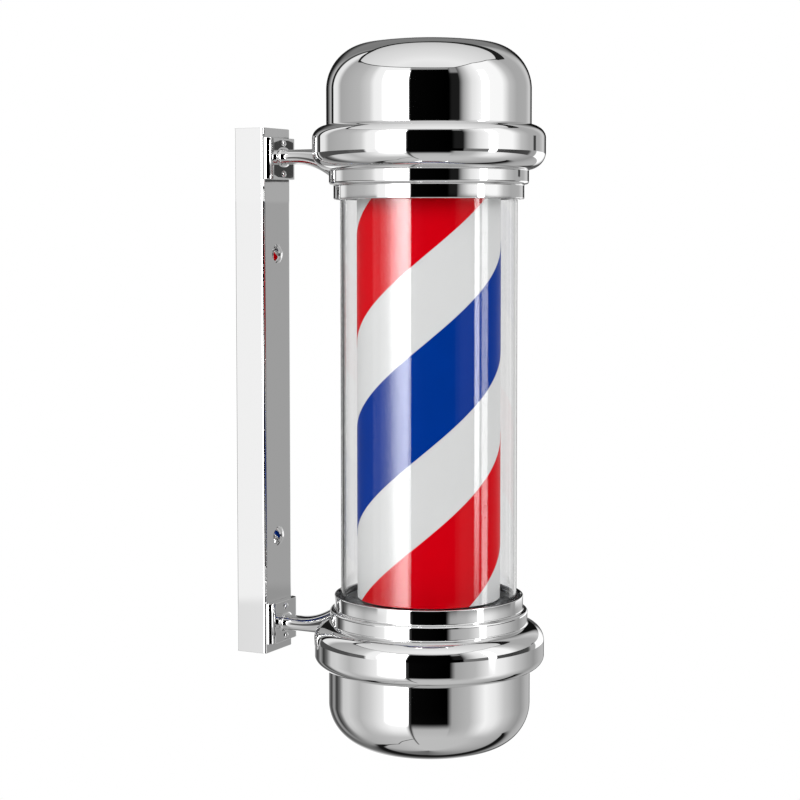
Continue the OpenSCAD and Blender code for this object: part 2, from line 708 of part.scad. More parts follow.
// A stripe is one band of film; its ends are cut level with the ends of the drum.
// Its middle crosses the drum's middle at the given turn.
tip_h = 1;
function stripe_angles() = let (
    a0 = -(drum_half + stripe_h / 2 - tip_h) * 360 / stripe_pitch,
    a1 = -(drum_half - stripe_h / 2) * 360 / stripe_pitch,
    n1 = ceil((a1 - a0) / 5),
    n2 = ceil(-2 * a1 / 5)
) concat(
    [for (i = [0:n1 - 1]) a0 + (a1 - a0) * i / n1],
    [for (i = [0:n2]) a1 - 2 * a1 * i / n2],
    [for (i = [1:n1]) -a1 + (a1 - a0) * i / n1]
);
function stripe_low(a) = max(a * stripe_pitch / 360 - stripe_h / 2, -drum_half);
function stripe_high(a) = min(a * stripe_pitch / 360 + stripe_h / 2, drum_half);
module stripe(turn) {
    angles = stripe_angles();
    n = len(angles);
    points = [for (a = angles, c = [0:3]) let (
        r = c < 2 ? film_in : film_out,
        z = (c == 0 || c == 3) ? stripe_low(a) : stripe_high(a)
    ) [r * cos(a + turn), r * sin(a + turn), z]];
    faces = concat(
        [[0, 1, 2], [0, 2, 3]],
        [for (i = [0:n - 2], c = [0:3]) let (p = 4 * i + c, q = 4 * i + (c + 1) % 4) [p, p + 4, q + 4]],
        [for (i = [0:n - 2], c = [0:3]) let (p = 4 * i + c, q = 4 * i + (c + 1) % 4) [p, q + 4, q]],
        [[4 * n - 4, 4 * n - 2, 4 * n - 3], [4 * n - 4, 4 * n - 1, 4 * n - 2]]
    );
    polyhedron(points = points, faces = faces, convexity = 8);
}
module red_stripe() color([0.80, 0.02, 0.09]) at_pole() stripe(stripe_turn + 180);
module blue_stripe() color([0.0, 0.24, 0.60]) at_pole() stripe(stripe_turn);

// Ring at the top of the drum, with three spokes and a bore that runs on the guide collar
module drum_top_ring() {
    color(white_plastic) at_upper() translate([0, 0, -top_ring_z - top_ring_t]) difference() {
        union() {
            difference() {
                cylinder(r = disc_r, h = top_ring_t);
                translate([0, 0, -over]) cylinder(r = disc_r - top_ring_w, h = top_ring_t + 2 * over);
            }
            cylinder(r = guide_r + guide_wall, h = top_ring_t);
            for (a = [0:2]) rotate([0, 0, 120 * a])
                translate([guide_r + guide_wall / 2, -spoke_w / 2, spoke_set])
                cube([disc_r - guide_r - top_ring_w, spoke_w, top_ring_t - 2 * spoke_set]);
        }
        translate([0, 0, -over]) cylinder(r = guide_r + guide_run, h = top_ring_t + 2 * over);
    }
}
// Disc at the bottom of the drum, screwed to the flange of the drive hub
module drum_bottom_disc() {
    color(white_plastic) at_lower() translate([0, 0, -disc_z - disc_t]) difference() {
        cylinder(r = disc_r, h = disc_t);
        translate([0, 0, -over]) cylinder(r = hub_r + slip, h = disc_t + 2 * over);
        for (a = [0:5]) rotate([0, 0, 60 * a + 30]) translate([disc_vents, 0, -over])
            cylinder(r = disc_vent_r, h = disc_t + 2 * over);
        for (a = [0:2]) rotate([0, 0, 120 * a]) translate([hub_screw_ring, 0, -over])
            cylinder(r = hub_screw_r + hole_slack, h = disc_t + 2 * over);
    }
}
module drive_hub() {
    color(steel) at_lower() difference() {
        union() {
            translate([0, 0, -disc_z - disc_t - hub_boss])
                cylinder(r = hub_r, h = hub_z + disc_z + disc_t + hub_boss);
            translate([0, 0, -disc_z]) cylinder(r = hub_flange_r, h = hub_flange_t);
        }
        translate([0, 0, hub_z - shaft_up]) cylinder(r = shaft_r + bare_face, h = shaft_up + over);
        for (a = [0:2]) rotate([0, 0, 120 * a]) translate([hub_screw_ring, 0, -disc_z - over])
            cylinder(r = hub_screw_r + bare_face, h = hub_flange_t + 2 * over);
        translate([0, 0, set_screw_z]) rod_y(hub_screw_r + bare_face, 0, hub_r + over);
    }
}
module hub_screws() {
    color(steel) at_lower() for (a = [0:2]) rotate([0, 0, 120 * a])
        translate([hub_screw_ring, 0, -disc_z - disc_t]) rotate([180, 0, 0])
            dome_screw(2.8, 1.8, hub_screw_r, disc_t + hub_flange_t + 1);
}
module hub_set_screw() {
    color(steel) at_lower() translate([0, 0, set_screw_z]) rod_y(hub_screw_r, shaft_r + bare_face, hub_r);
}

// Gear motor under the lower end plate; its shaft stands up through the plate
module motor_shaft() {
    color(steel) at_lower() translate([0, 0, hub_z - shaft_up])
        cylinder(r = shaft_r, h = shaft_up - hub_z + ledge_z + shaft_down);
}
module thrust_washer() {
    color(white_plastic) at_lower() translate([0, 0, ledge_z - motor_boss_h - washer_t]) difference() {
        cylinder(r = washer_r, h = washer_t);
        translate([0, 0, -over]) cylinder(r = shaft_r + hole_slack, h = washer_t + 2 * over);
    }
}
module motor_gear_cover() {
    color(steel) at_lower() difference() {
        union() {
            translate([0, 0, ledge_z]) cylinder(r = motor_r, h = motor_split - ledge_z);
            translate([0, 0, ledge_z - motor_boss_h]) cylinder(r = motor_boss_r, h = motor_boss_h + over);
            for (x = [-1, 1]) translate([x * ear_x, 0, ledge_z]) cylinder(r = ear_r, h = ear_t);
            translate([-ear_x, -ear_r, ledge_z]) cube([2 * ear_x, 2 * ear_r, ear_t]);
        }
        translate([0, 0, ledge_z - motor_boss_h - over])
            cylinder(r = shaft_r + shaft_run, h = motor_h + motor_boss_h);
        for (x = [-1, 1]) translate([x * ear_x, 0, ledge_z - over])
            cylinder(r = motor_screw_d / 2 + hole_slack, h = ear_t + 2 * over);
    }
}
module motor_case() {
    color(brass) at_lower() difference() {
        translate([0, 0, motor_split]) cylinder(r = motor_r - case_step, h = ledge_z + motor_h - motor_split);
        translate([0, 0, motor_split - over])
            cylinder(r = shaft_r + hole_slack, h = ledge_z + shaft_down + 2 - motor_split + over);
    }
}
module motor_screws() {
    color(steel) at_lower() for (x = [-1, 1]) translate([x * ear_x, 0, plate_top]) rotate([180, 0, 0])
        dome_screw(small_head_r, small_head_h, motor_screw_d / 2, end_plate_t + ear_t + nut_h + screw_tail);
}
module motor_nuts() {
    color(steel) at_lower() for (x = [-1, 1]) translate([x * ear_x, 0, ledge_z + ear_t]) difference() {
        cylinder(r = nut_af / sqrt(3), h = nut_h, $fn = 6);
        translate([0, 0, -over]) cylinder(r = motor_screw_d / 2 + bare_face, h = nut_h + 2 * over);
    }
}

// Lamp holder through the upper end plate, with the guide collar for the drum round it
module guide_collar() {
    color(white_plastic) at_upper() translate([0, 0, ledge_z - guide_l]) difference() {
        cylinder(r = guide_r, h = guide_l);
        translate([0, 0, -over]) cylinder(r = holder_r + slip, h = guide_l + 2 * over);
    }
}
module lamp_holder() {
    color(black) at_upper() difference() {
        union() {
            translate([0, 0, holder_low]) cylinder(r = holder_r, h = holder_top - holder_low);
            translate([0, 0, ledge_z]) cylinder(r = holder_flange_r, h = holder_flange_t);
        }
        translate([0, 0, holder_low - over]) cylinder(r = lamp_cap_r + slip, h = lamp_cap_h + 2 + over);
        for (x = [-1, 1]) translate([x * holder_screw_x, 0, ledge_z - over])
            cylinder(r = plate_screw_d / 2 + hole_slack, h = holder_flange_t + 2 * over);
    }
}
module holder_screws() {
    color(steel) at_upper() for (x = [-1, 1]) translate([x * holder_screw_x, 0, ledge_z + holder_flange_t])
        dome_screw(3.4, 2.2, plate_screw_d / 2, holder_flange_t + end_plate_t + 1.5);
}
// Lamp: a brass screw cap and cone, and a long body with an end cap
module lamp_base() {
    color(brass) at_upper() translate([0, 0, holder_low]) {
        cylinder(r = lamp_cap_r, h = lamp_cap_h);
        rotate_extrude() polygon([[0, 0], [lamp_cap_r, 0], [lamp_d / 2, -lamp_cone_h], [0, -lamp_cone_h]]);
    }
}
module lamp_body() {
    color([1.0, 0.95, 0.75]) at_upper() translate([0, 0, holder_low - lamp_cone_h]) rotate_extrude()
        polygon(concat(
            [[0, 0], [lamp_d / 2 - 1, 0], [lamp_d / 2 - 1, -lamp_h]],
            arc(0, -lamp_h, lamp_d / 2 - 1, lamp_end_h, 0, -90, 8)
        ));
}

// Terminal block under the lower end plate and its two screws
module terminal_block() {
    color(white_plastic) at_lower() difference() {
        translate([-block_x / 2, block_y - block_d / 2, ledge_z]) cube([block_x, block_d, block_h]);
        for (x = [-1, 1]) translate([x * block_screw_x, block_y, ledge_z - over])
            cylinder(r = block_screw_d / 2 + hole_slack, h = block_h + 2 * over);
        for (x = [-1, 0, 1]) translate([x * 5.5, block_y - 4.5, ledge_z + block_h - 5])
            cylinder(r = 1.8, h = 5 + over);
    }
}
module terminal_screws() {
    color(steel) at_lower() for (x = [-1, 1]) translate([x * block_screw_x, block_y, ledge_z + block_h])
        dome_screw(2.6, 1.8, block_screw_d / 2, block_h + end_plate_t);
}

// Round wiring along a path of points whose runs lie along X, Y or Z, with a bend at each corner
function unit(v) = v / norm(v);
module wire(path, r) {
    n = len(path) - 1;
    for (i = [0:n - 1]) {
        d = unit(path[i + 1] - path[i]);
        first = i == 0 ? 0 : bend_r;
        last = i == n - 1 ? 0 : bend_r;
        translate(path[i] + first * d) rotate([0, acos(d[2]), atan2(d[1], d[0])])
            cylinder(r = r, h = norm(path[i + 1] - path[i]) - first - last);
    }
    for (i = [1:n - 1]) {
        d = unit(path[i] - path[i - 1]);
        e = unit(path[i + 1] - path[i]);
        c = path[i] - bend_r * d + bend_r * e;
        q = cross(d, e);
        multmatrix([
            [-e[0], d[0], q[0], c[0]],
            [-e[1], d[1], q[1], c[1]],
            [-e[2], d[2], q[2], c[2]],
            [0, 0, 0, 1]
        ])
            rotate_extrude(angle = 90) translate([bend_r, 0]) circle(r = r);
    }
}
// Wiring from the terminal block through the lower arm, the channel and the upper arm to the lamp
module lamp_lead() {
    up = mid_z + lead_z;
    down = mid_z - lead_z;
    color(black) wire([
        [0, lead_low_y, mid_z - half_view - ledge_z - block_h],
        [0, lead_low_y, down], [0, rise_y, down], [lead_x, rise_y, down],
        [lead_x, rise_y, up], [0, rise_y, up], [0, lead_top_y, up],
        [0, lead_top_y, mid_z + half_view + holder_top]
    ], lead_r);
}
// Short lead from the terminal block to the motor
module motor_lead() {
    color(black) at_lower() translate([-8, 0, ledge_z + block_h - 4])
        rod_y(small_lead_r, sqrt(pow(motor_r - case_step, 2) - 36), block_y - block_d / 2);
}
// Lead from the terminal block down to the switch
module switch_lead() {
    low = land_z - switch_depth - 22;
    color(black) at_lower() wire([
        [-9, block_y + 4, ledge_z + block_h], [-9, block_y + 4, low],
        [-9, switch_y + 8, low], [-9, switch_y + 8, land_z - switch_depth]
    ], small_lead_r);
}

// Twin rocker switch in the flat under the lower dome: one rocker for the lamp, one for the motor
module switch_frame() {
    color(black) at_lower() translate([0, switch_y, land_z]) difference() {
        union() {
            translate([-bezel_x / 2, -bezel_y / 2, 0]) cube([bezel_x, bezel_y, bezel_t]);
            translate([-switch_x / 2, -switch_l / 2, -switch_depth]) cube([switch_x, switch_l, switch_depth]);
        }
        for (s = [-1, 1]) translate([s * rocker_x, 0, 0]) {
            translate([-rocker_w / 2 - well_gap, -rocker_l / 2 - well_end, -well_depth])
                cube([rocker_w + 2 * well_gap, rocker_l + 2 * well_end, well_depth + bezel_t + over]);
            translate([-rocker_w / 2 - pin_l - slip, 0, -pivot_depth]) rotate([0, 90, 0])
                cylinder(r = pivot_r + pivot_run, h = rocker_w + 2 * (pin_l + slip));
        }
    }
}
module rocker() {
    translate([0, 0, -pivot_depth]) rotate([rocker_off, 0, 0]) translate([0, 0, pivot_depth]) {
        translate([-rocker_w / 2, 0, 0]) rotate([90, 0, 90]) linear_extrude(rocker_w) polygon([
            [-rocker_l / 2, -rocker_in], [rocker_l / 2, -rocker_in], [rocker_l / 2, rocker_end],
            [0, rocker_mid], [-rocker_l / 2, rocker_end]
        ]);
        translate([-rocker_w / 2 - pin_l, 0, -pivot_depth]) rotate([0, 90, 0])
            cylinder(r = pivot_r, h = rocker_w + 2 * pin_l);
    }
}
module lamp_rocker() color([0.10, 0.10, 0.11]) at_lower() translate([-rocker_x, switch_y, land_z]) rocker();
module motor_rocker() color([0.10, 0.10, 0.11]) at_lower() translate([rocker_x, switch_y, land_z]) rocker();

// Cable gland beside the switch, with a free bore, and its locknut inside the dome
module cable_gland() {
    color(black) at_lower() translate([0, gland_y, land_z]) difference() {
        union() {
            translate([0, 0, -dome_wall - gland_tail]) cylinder(r = gland_r, h = dome_wall + gland_tail + 1);
            cylinder(r = gland_hex_r, h = gland_hex_h, $fn = 6);
            translate([0, 0, gland_hex_h]) cylinder(r = gland_nut_r, h = gland_nut_h);
        }
        translate([0, 0, -dome_wall - gland_tail - over])
            cylinder(r = gland_bore_r, h = dome_wall + gland_tail + gland_hex_h + gland_nut_h + 2 * over);
    }
}
module gland_locknut() {
    color(black) at_lower() translate([0, gland_y, land_z - dome_wall - locknut_h]) difference() {
        cylinder(r = gland_hex_r + 0.5, h = locknut_h, $fn = 6);
        translate([0, 0, -over]) cylinder(r = gland_r + bare_face, h = locknut_h + 2 * over);
    }
}

wall_plate();
wall_standoffs();
wall_channel();
cover_screws();
upper_arm();
lower_arm();
arm_screws();
arm_nuts();
ring_screws();
upper_end_ring();
lower_end_ring();
upper_end_plate();
lower_end_plate();
plate_screws();
upper_dome();
lower_dome();
dome_screws();
glass_tube();
upper_glass_seal();
lower_glass_seal();
drum_tube();
red_stripe();
blue_stripe();
drum_top_ring();
drum_bottom_disc();
drive_hub();
hub_screws();
hub_set_screw();
motor_shaft();
thrust_washer();
motor_case();
motor_gear_cover();
motor_screws();
motor_nuts();
guide_collar();
lamp_holder();
lamp_base();
lamp_body();
holder_screws();
terminal_block();
terminal_screws();
lamp_lead();
motor_lead();
switch_lead();
switch_frame();
lamp_rocker();
motor_rocker();
cable_gland();
gland_locknut();
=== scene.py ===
"""Wall-hung barber pole: the show pieces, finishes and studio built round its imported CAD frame."""

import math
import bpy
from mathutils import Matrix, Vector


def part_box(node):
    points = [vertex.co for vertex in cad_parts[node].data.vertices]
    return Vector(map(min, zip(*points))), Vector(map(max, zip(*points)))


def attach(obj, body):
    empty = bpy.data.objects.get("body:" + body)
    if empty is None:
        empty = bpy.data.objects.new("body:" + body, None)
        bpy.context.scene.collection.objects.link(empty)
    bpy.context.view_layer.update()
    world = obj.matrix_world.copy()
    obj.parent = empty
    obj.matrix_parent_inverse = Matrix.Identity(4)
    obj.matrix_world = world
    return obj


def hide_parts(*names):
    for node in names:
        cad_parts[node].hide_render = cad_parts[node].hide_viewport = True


bl_info = {
    "name": "Barber Pole",
    "version": (1, 0, 0),
    "blender": (4, 5, 0),
    "location": "View3D > Sidebar > Barber Pole",
    "description": "Models the show pieces of a wall-hung barber pole on its CAD frame",
    "category": "Add Mesh",
}

import bmesh
import bpy
from bpy.props import FloatProperty, FloatVectorProperty, IntProperty, PointerProperty
from mathutils import Vector

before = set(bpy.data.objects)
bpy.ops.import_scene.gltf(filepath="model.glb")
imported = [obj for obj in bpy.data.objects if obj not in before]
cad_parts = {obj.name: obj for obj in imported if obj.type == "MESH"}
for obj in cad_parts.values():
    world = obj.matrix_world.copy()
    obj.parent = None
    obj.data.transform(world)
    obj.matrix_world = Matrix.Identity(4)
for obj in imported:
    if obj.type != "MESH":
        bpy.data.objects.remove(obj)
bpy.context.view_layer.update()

MM = 0.001
TURN = 2 * math.pi
ROUND_STEPS = 192  # faces round the large turned pieces
SMALL_STEPS = 48  # faces round screws
SMOOTH_ANGLE = math.radians(28)
WELD = 1e-6  # distance under which points count as one
RUN_PAST = 5 * MM  # how far a cutter runs past the surface it cuts
DEEP = 30 * MM  # reach of a cutter where nothing else lies in its way
FILM_SPARE = 0.05  # turn, in radians, by which a stripe runs past the drum's ends before it is cut
FILM_STEP = math.radians(2.5)  # turn of one face of a stripe
FILM_ROWS = 10  # faces over a stripe's height
NECK_POINTS = 96  # points round a neck
NECK_POWER = 2.5  # power of a neck's oval, where 2 is an ellipse
NECK_RUN = 1.08  # length of a neck's falling part, which ends inside the ring, as a share of fall_l
FILLET_STEPS, NECK_STEPS = 8, 40  # stations along a neck's fillet and along the rest of it


def node_box(node):
    """Lowest corner, highest corner and middle of a CAD node."""
    low, high = (Vector(corner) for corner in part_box(node))
    return low, high, (low + high) / 2


_, GLASS_HIGH, POLE = node_box("glass_tube")
RING_LOW, RING_HIGH, _ = node_box("upper_end_ring")
_, DOME_HIGH, _ = node_box("upper_dome")
_, DRUM_HIGH, _ = node_box("drum_tube")
CHANNEL_LOW, CHANNEL_HIGH, _ = node_box("wall_channel")
COVER_LOW, COVER_HIGH, _ = node_box("cover_screws")
RIM_Z = RING_LOW.z  # height of the upper rim
MID_Z = POLE.z  # height of the pole's middle


def linear(hex_colour):
    """Linear RGBA of an sRGB hex colour."""
    parts = [int(hex_colour[i : i + 2], 16) / 255 for i in (1, 3, 5)]
    return [c / 12.92 if c <= 0.04045 else ((c + 0.055) / 1.055) ** 2.4 for c in parts] + [1.0]


def length(name, description, millimetres):
    """A length property, kept in metres."""
    return FloatProperty(
        name=name, description=description, default=millimetres * MM, min=0, unit="LENGTH", precision=5
    )


def colour(name, description, hex_colour):
    """A colour property that starts from an sRGB hex value."""
    start = linear(hex_colour)
    return FloatVectorProperty(
        name=name, description=description, default=start, size=4, min=0, max=1, subtype="COLOR"
    )


def strength(name, description, default):
    """A property for the strength of a light."""
    return FloatProperty(name=name, description=description, default=default, min=0)


class EndSizes(bpy.types.PropertyGroup):
    """Sizes of the end rings and domes."""

    bead_r: length("Bead radius", "Radius of the widest band of an end ring", RING_HIGH.x / MM)
    collar_r: length("Collar radius", "Radius of the rim collar round the clear cylinder", 94)
    collar_h: length("Collar height", "Height of the rim collar", 14.5)
    step_r: length("Second collar radius", "Radius of the second collar ring", 98.5)
    step_h: length("Second collar height", "Height of the second collar ring", 14)
    sweep_h: length("Sweep height", "Height of the sweep from second collar to bead", 17.5)
    band_h: length("Band height", "Height of the straight band of the bead", 14)
    shoulder_w: length("Shoulder width", "Half width of the shoulder's ellipse", 18)
    shoulder_h: length("Shoulder height", "Height of the shoulder under the dome", 13)
    sweep_under: length("Sweep start", "How far the sweep starts inside the second collar", 3)
    wall: length("Ring wall", "Wall of the cast ring", 3)
    rim_wall: length("Rim wall", "Wall of the rim round the seal", 2.5)
    rim_round: length("Rim rounding", "Rounding of the rim", 1.2)
    step_round: length("Collar rounding", "Rounding of the second collar ring", 2.79)
    step_hollow: length("Collar hollow", "Hollow between the collars and under the sweep", 1.35)
    spigot_gap: length("Spigot gap", "Gap between the spigot and the dome", 0.2)
    ledge_w: length("Ledge width", "Width of the end plate's ledge", 3.5)
    lip: length("Rim lip", "Chamfer at the rim's inner edge", 0.8)
    ledge_z: length("Ledge depth", "Depth of the end plate's ledge under the rim", 6.5)
    spigot_h: length("Spigot height", "Height of the spigot inside the dome", 11)
    dome_r: length("Dome radius", "Outside radius of a dome", DOME_HIGH.x / MM)
    dome_wall: length("Dome wall", "Wall of a spun dome", 2.5)
    dome_side: length("Dome side", "Height of the dome's straight side", 34.5)
    knuckle_r: length("Knuckle radius", "Radius between the dome's side and crown", 45.5)
    land_r: length("Land radius", "Flat land under the lower dome", 36)
    screw_z: length("Dome screw height", "Height of the dome screw over the rim", 79)
    screw_hole_r: length("Dome screw hole", "Radius of a dome's screw hole", 2.2)
    switch_lip: length("Switch lip", "How far the switch frame's lip covers the dome", 1.4)
    gland_hole_r: length("Gland hole", "Radius of the cable gland's hole", 6.1)


class DrumSizes(bpy.types.PropertyGroup):
    """Sizes of the clear cylinder, the drum and its stripes."""

    glass_r: length("Cylinder radius", "Outside radius of the clear cylinder", GLASS_HIGH.x / MM)
    glass_wall: length("Cylinder wall", "Wall of the clear cylinder", 3)
    glass_edge: length("Cylinder edge", "Chamfer at the clear cylinder's ends", 0.4)
    drum_r: length("Drum radius", "Outside radius of the drum", DRUM_HIGH.x / MM)
    drum_wall: length("Drum wall", "Wall of the drum", 1.5)
    drum_edge: length("Drum edge", "Chamfer at the drum's ends", 0.3)
    film_gap: length("Film gap", "Adhesive under a stripe film", 0.06)
    film: length("Film", "Thickness of a stripe film", 0.2)
    pitch: length("Stripe pitch", "Height that a stripe climbs in one turn", 378)
    stripe_h: length("Stripe height", "Height of a coloured stripe", 104.5)
    stripe_turn: FloatProperty(
        name="Stripe direction",
        description="Direction in which the blue stripe crosses the drum's middle",
        default=math.radians(-162),
        subtype="ANGLE",
    )


class MountSizes(bpy.types.PropertyGroup):
    """Sizes of the wall channel, the arms and the visible screws."""

    sheet: length("Channel sheet", "Sheet of the wall channel", 2)
    channel_edge: length("Channel edge", "Rounding of the channel's front edges", 3)
    end_edge: length("End edge", "Rounding of the channel's ends", 0.5)
    rear_edge: length("Rear edge", "Rounding of the channel's edges at the wall", 0.9)
    foot_h: length("Foot height", "Height of an arm's foot", 42)
    foot_t: length("Foot thickness", "Thickness of an arm's foot", 8)
    foot_edge: length("Foot edge", "Rounding of the foot's two long edges", 7.4)
    foot_rim: length("Foot rim", "Rounding of the foot's top and bottom", 0.6)
    foot_hole_r: length("Foot hole", "Radius of a screw hole in the foot", 1.9)
    ring_gap: length("Ring gap", "Gap between the arm and the end ring", 0.1)
    arm_z: length("Arm height", "Height of an arm's foot over the pole's middle", 239)
    neck_half: length("Neck half width", "Half width of the neck at its foot", 11)
    flare: length("Neck flare", "How much the half width grows at the end ring", 13)
    flare_l: length("Flare length", "Distance over which the neck flares", 66.5)
    neck_out: length("Neck outer height", "Height of the neck's outer side over the foot's middle", 9)
    neck_in: length("Neck inner height", "Height of the neck's inner side at its foot", 6)
    neck_fall: length("Neck fall", "How far the neck's inner side falls towards the ring", 19)
    fall_y: length("Fall start", "Where the neck's inner side starts to fall", 24)
    fall_l: length("Fall length", "Distance over which the inner side falls", 50.5)
    fillet: length("Fillet", "Fillet between foot and neck", 2.8)
    foot_screw_z: length("Foot screw spacing", "Distance of a foot screw from the foot's middle", 15.6)
    foot_head_r: length("Foot screw head", "Radius of a foot screw's head", 3.6)
    foot_head_h: length("Foot screw head height", "Height of a foot screw's head", 2.4)
    cover_head_h: length("Cover screw head height", "Height of a dome-head screw", 4.2)
    dome_head_r: length("Dome screw head", "Radius of a dome screw's head", 3.8)
    dome_head_h: length("Dome screw head height", "Height of a dome screw's head", 2.4)


class FinishColours(bpy.types.PropertyGroup):
    """Colours of the finishes."""

    chrome: colour("Chrome", "Chrome plate", "#D8D8D8")
    red: colour("Red", "Red stripe film", "#E60014")
    blue: colour("Blue", "Blue stripe film", "#00399E")
    white: colour("White", "Drum enamel", "#E9EAEA")


class StudioSettings(bpy.types.PropertyGroup):
    """Light of the studio."""

    ambient: strength("Ambient", "World light on the object", 0.6)
    key: strength("Key lamp", "Power of the key lamp in watts", 30)
    fill: strength("Fill lamp", "Power of the fill lamp in watts", 20)
    panel: strength("Panel", "Strength of the light panel that the gloss shows", 26)
    side_panel: strength("Side panel", "Strength of the panel at image right", 18)
    steps: IntProperty(name="Tent faces", description="Faces round the reflection tent", default=96, min=16)


# Meshes


def activate(piece):
    """Makes a piece the only selected object and the active one."""
    bpy.ops.object.select_all(action="DESELECT")
    piece.select_set(True)
    bpy.context.view_layer.objects.active = piece


def begin(name):
    """Gives the new primitive its name and opens it with everything selected."""
    piece = bpy.context.object
    piece.name = piece.data.name = name
    bpy.ops.object.mode_set(mode="EDIT")
    bpy.context.tool_settings.mesh_select_mode = (True, False, False)
    bpy.ops.mesh.select_all(action="SELECT")
    return piece


def select_only(piece, parts, test):
    """In edit mode, selects the vertices, edges or faces of a piece that pass the test."""
    bpy.context.tool_settings.mesh_select_mode = (parts == "verts", parts == "edges", parts == "faces")
    bpy.ops.mesh.select_all(action="DESELECT")
    mesh = bmesh.from_edit_mesh(piece.data)
    for part in getattr(mesh, parts):
        part.select_set(bool(test(part)))
    bmesh.update_edit_mesh(piece.data)


def middle(part):
    """Middle of an edge or face."""
    return sum((v.co for v in part.verts), Vector()) / len(part.verts)


def round_edges(piece, test, radius, segments):
    """In edit mode, rounds the edges whose middle passes the test."""
    select_only(piece, "edges", lambda edge: test(middle(edge)))
    bpy.ops.mesh.bevel(offset=radius, segments=segments, affect="EDGES")


def side_edges(y):
    """Test for the edges at one depth that stand at both sides of the channel's width."""
    return lambda place: abs(place.y - y) < WELD and abs(place.x) > CHANNEL_HIGH.x - WELD


def close(piece):
    """Leaves edit mode and puts the piece's place into its mesh, smooth but for its sharp edges."""
    bpy.ops.object.mode_set(mode="OBJECT")
    activate(piece)
    bpy.ops.object.transform_apply(location=True, rotation=True, scale=True)
    bpy.ops.object.shade_smooth_by_angle(angle=SMOOTH_ANGLE)
    return piece


def weld():
    """In edit mode, merges what coincides and turns all faces outwards."""
    bpy.ops.mesh.select_all(action="SELECT")
    bpy.ops.mesh.remove_doubles(threshold=WELD)
    bpy.ops.mesh.normals_make_consistent(inside=False)


def arc(centre_r, centre_h, a, b, start, end, steps):
    """Points of an elliptic arc between two angles in degrees."""
    angles = [math.radians(start + (end - start) * i / steps) for i in range(steps + 1)]
    return [(centre_r + a * math.cos(t), centre_h + b * math.sin(t)) for t in angles]


def turned(name, centre, outline, axis=(0, 0, 1), steps=ROUND_STEPS):
    """Turns an outline of (radius, height) round an axis that is square to X."""
    axis, side = Vector(axis), Vector((1, 0, 0))
    places = [centre + side * r + axis * h for r, h in outline]
    bpy.ops.mesh.primitive_plane_add(size=MM, location=places[0])
    piece = begin(name)
    bpy.ops.mesh.merge(type="CENTER")
    for here, there in zip(places, places[1:]):
        bpy.ops.mesh.extrude_region_move(TRANSFORM_OT_translate={"value": there - here})
    bpy.ops.mesh.select_all(action="SELECT")
    bpy.ops.mesh.spin(steps=steps, angle=TURN, center=centre, axis=axis)
    weld()
    return close(piece)


def box(name, low, high):
    """A box primitive between two corners, opened for editing."""
    bpy.ops.mesh.primitive_cube_add(size=1, location=(low + high) / 2)
    bpy.context.object.scale = high - low
    bpy.ops.object.transform_apply(location=True, rotation=True, scale=True)
    return begin(name)


def rod(name, centre, radius, start, end, axis=(0, 1, 0)):
    """A plain cylinder along an axis, used as a cutter."""
    return turned(name, centre, [(0, start), (radius, start), (radius, end), (0, end)], axis, SMALL_STEPS)


def apply_modifier(piece, kind, **settings):
    """Adds a modifier to a piece and applies it."""
    activate(piece)
    made = piece.modifiers.new(kind.title(), kind)
    for key, value in settings.items():
        setattr(made, key, value)
    bpy.ops.object.modifier_apply(modifier=made.name)


def cut(piece, *cutters, operation="DIFFERENCE"):
    """Cuts or joins other solids with a piece and removes them."""
    for cutter in cutters:
        apply_modifier(piece, "BOOLEAN", operation=operation, solver="EXACT", object=cutter)
        bpy.data.objects.remove(cutter)
    bpy.ops.object.shade_smooth_by_angle(angle=SMOOTH_ANGLE)


def mirrored(piece, name):
    """A copy with its own mesh, mirrored to the pole's other end."""
    copy = piece.copy()
    copy.data = piece.data.copy()
    bpy.context.collection.objects.link(copy)
    activate(copy)
    begin(name)
    bpy.ops.transform.resize(value=(1, 1, -1), center_override=(0, 0, MID_Z))
    bpy.ops.mesh.normals_make_consistent(inside=False)
    return close(copy)


def fit(piece, finish, slot, body, *nodes):
    """Gives a piece its finish, the body that it rides on and the nodes that it stands for."""
    # Flat faces shade flat, and only the roundings between them turn
    apply_modifier(piece, "WEIGHTED_NORMAL", keep_sharp=True, weight=100)
    piece.data.materials.clear()
    piece.data.materials.append(finish)
    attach(piece, body)
    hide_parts(*nodes)


def chromed(piece, node):
    """Fits a chromed piece that doesn't move."""
    fit(piece, finish("chrome_plate_polished"), "chrome", "frame", node)


# Finishes


def set_sockets(node, values):
    """Sets a node's own sockets to constants."""
    for socket, value in values.items():
        node.inputs[socket].default_value = value


def add(tree, kind, values=None, links=None, **settings):
    """Adds a node to a tree with its settings, its socket values and its links."""
    made = tree.nodes.new(kind)
    for key, value in settings.items():
        setattr(made, key, value)
    set_sockets(made, values or {})
    for socket, source in (links or {}).items():
        feed(made, socket, source)
    return made


def feed(node, socket, source):
    """Links an output to a node's socket."""
    node.id_data.links.new(source, node.inputs[socket])


def maths(operation, *inputs):
    """A Math node on sockets and numbers, of which one at least is a socket."""
    links = {i: socket for i, socket in enumerate(inputs) if isinstance(socket, bpy.types.NodeSocket)}
    values = {i: number for i, number in enumerate(inputs) if i not in links}
    tree = next(iter(links.values())).id_data
    return add(tree, "ShaderNodeMath", values, links, operation=operation).outputs[0]


def show_mixed(share, first, second):
    """Shows the first shader where the share is 0 and the second where it is 1."""
    tree = first.id_data
    mix = add(tree, "ShaderNodeMixShader", links={0: share, 1: first.outputs[0], 2: second.outputs[0]})
    feed(tree.nodes["Material Output"], "Surface", mix.outputs[0])


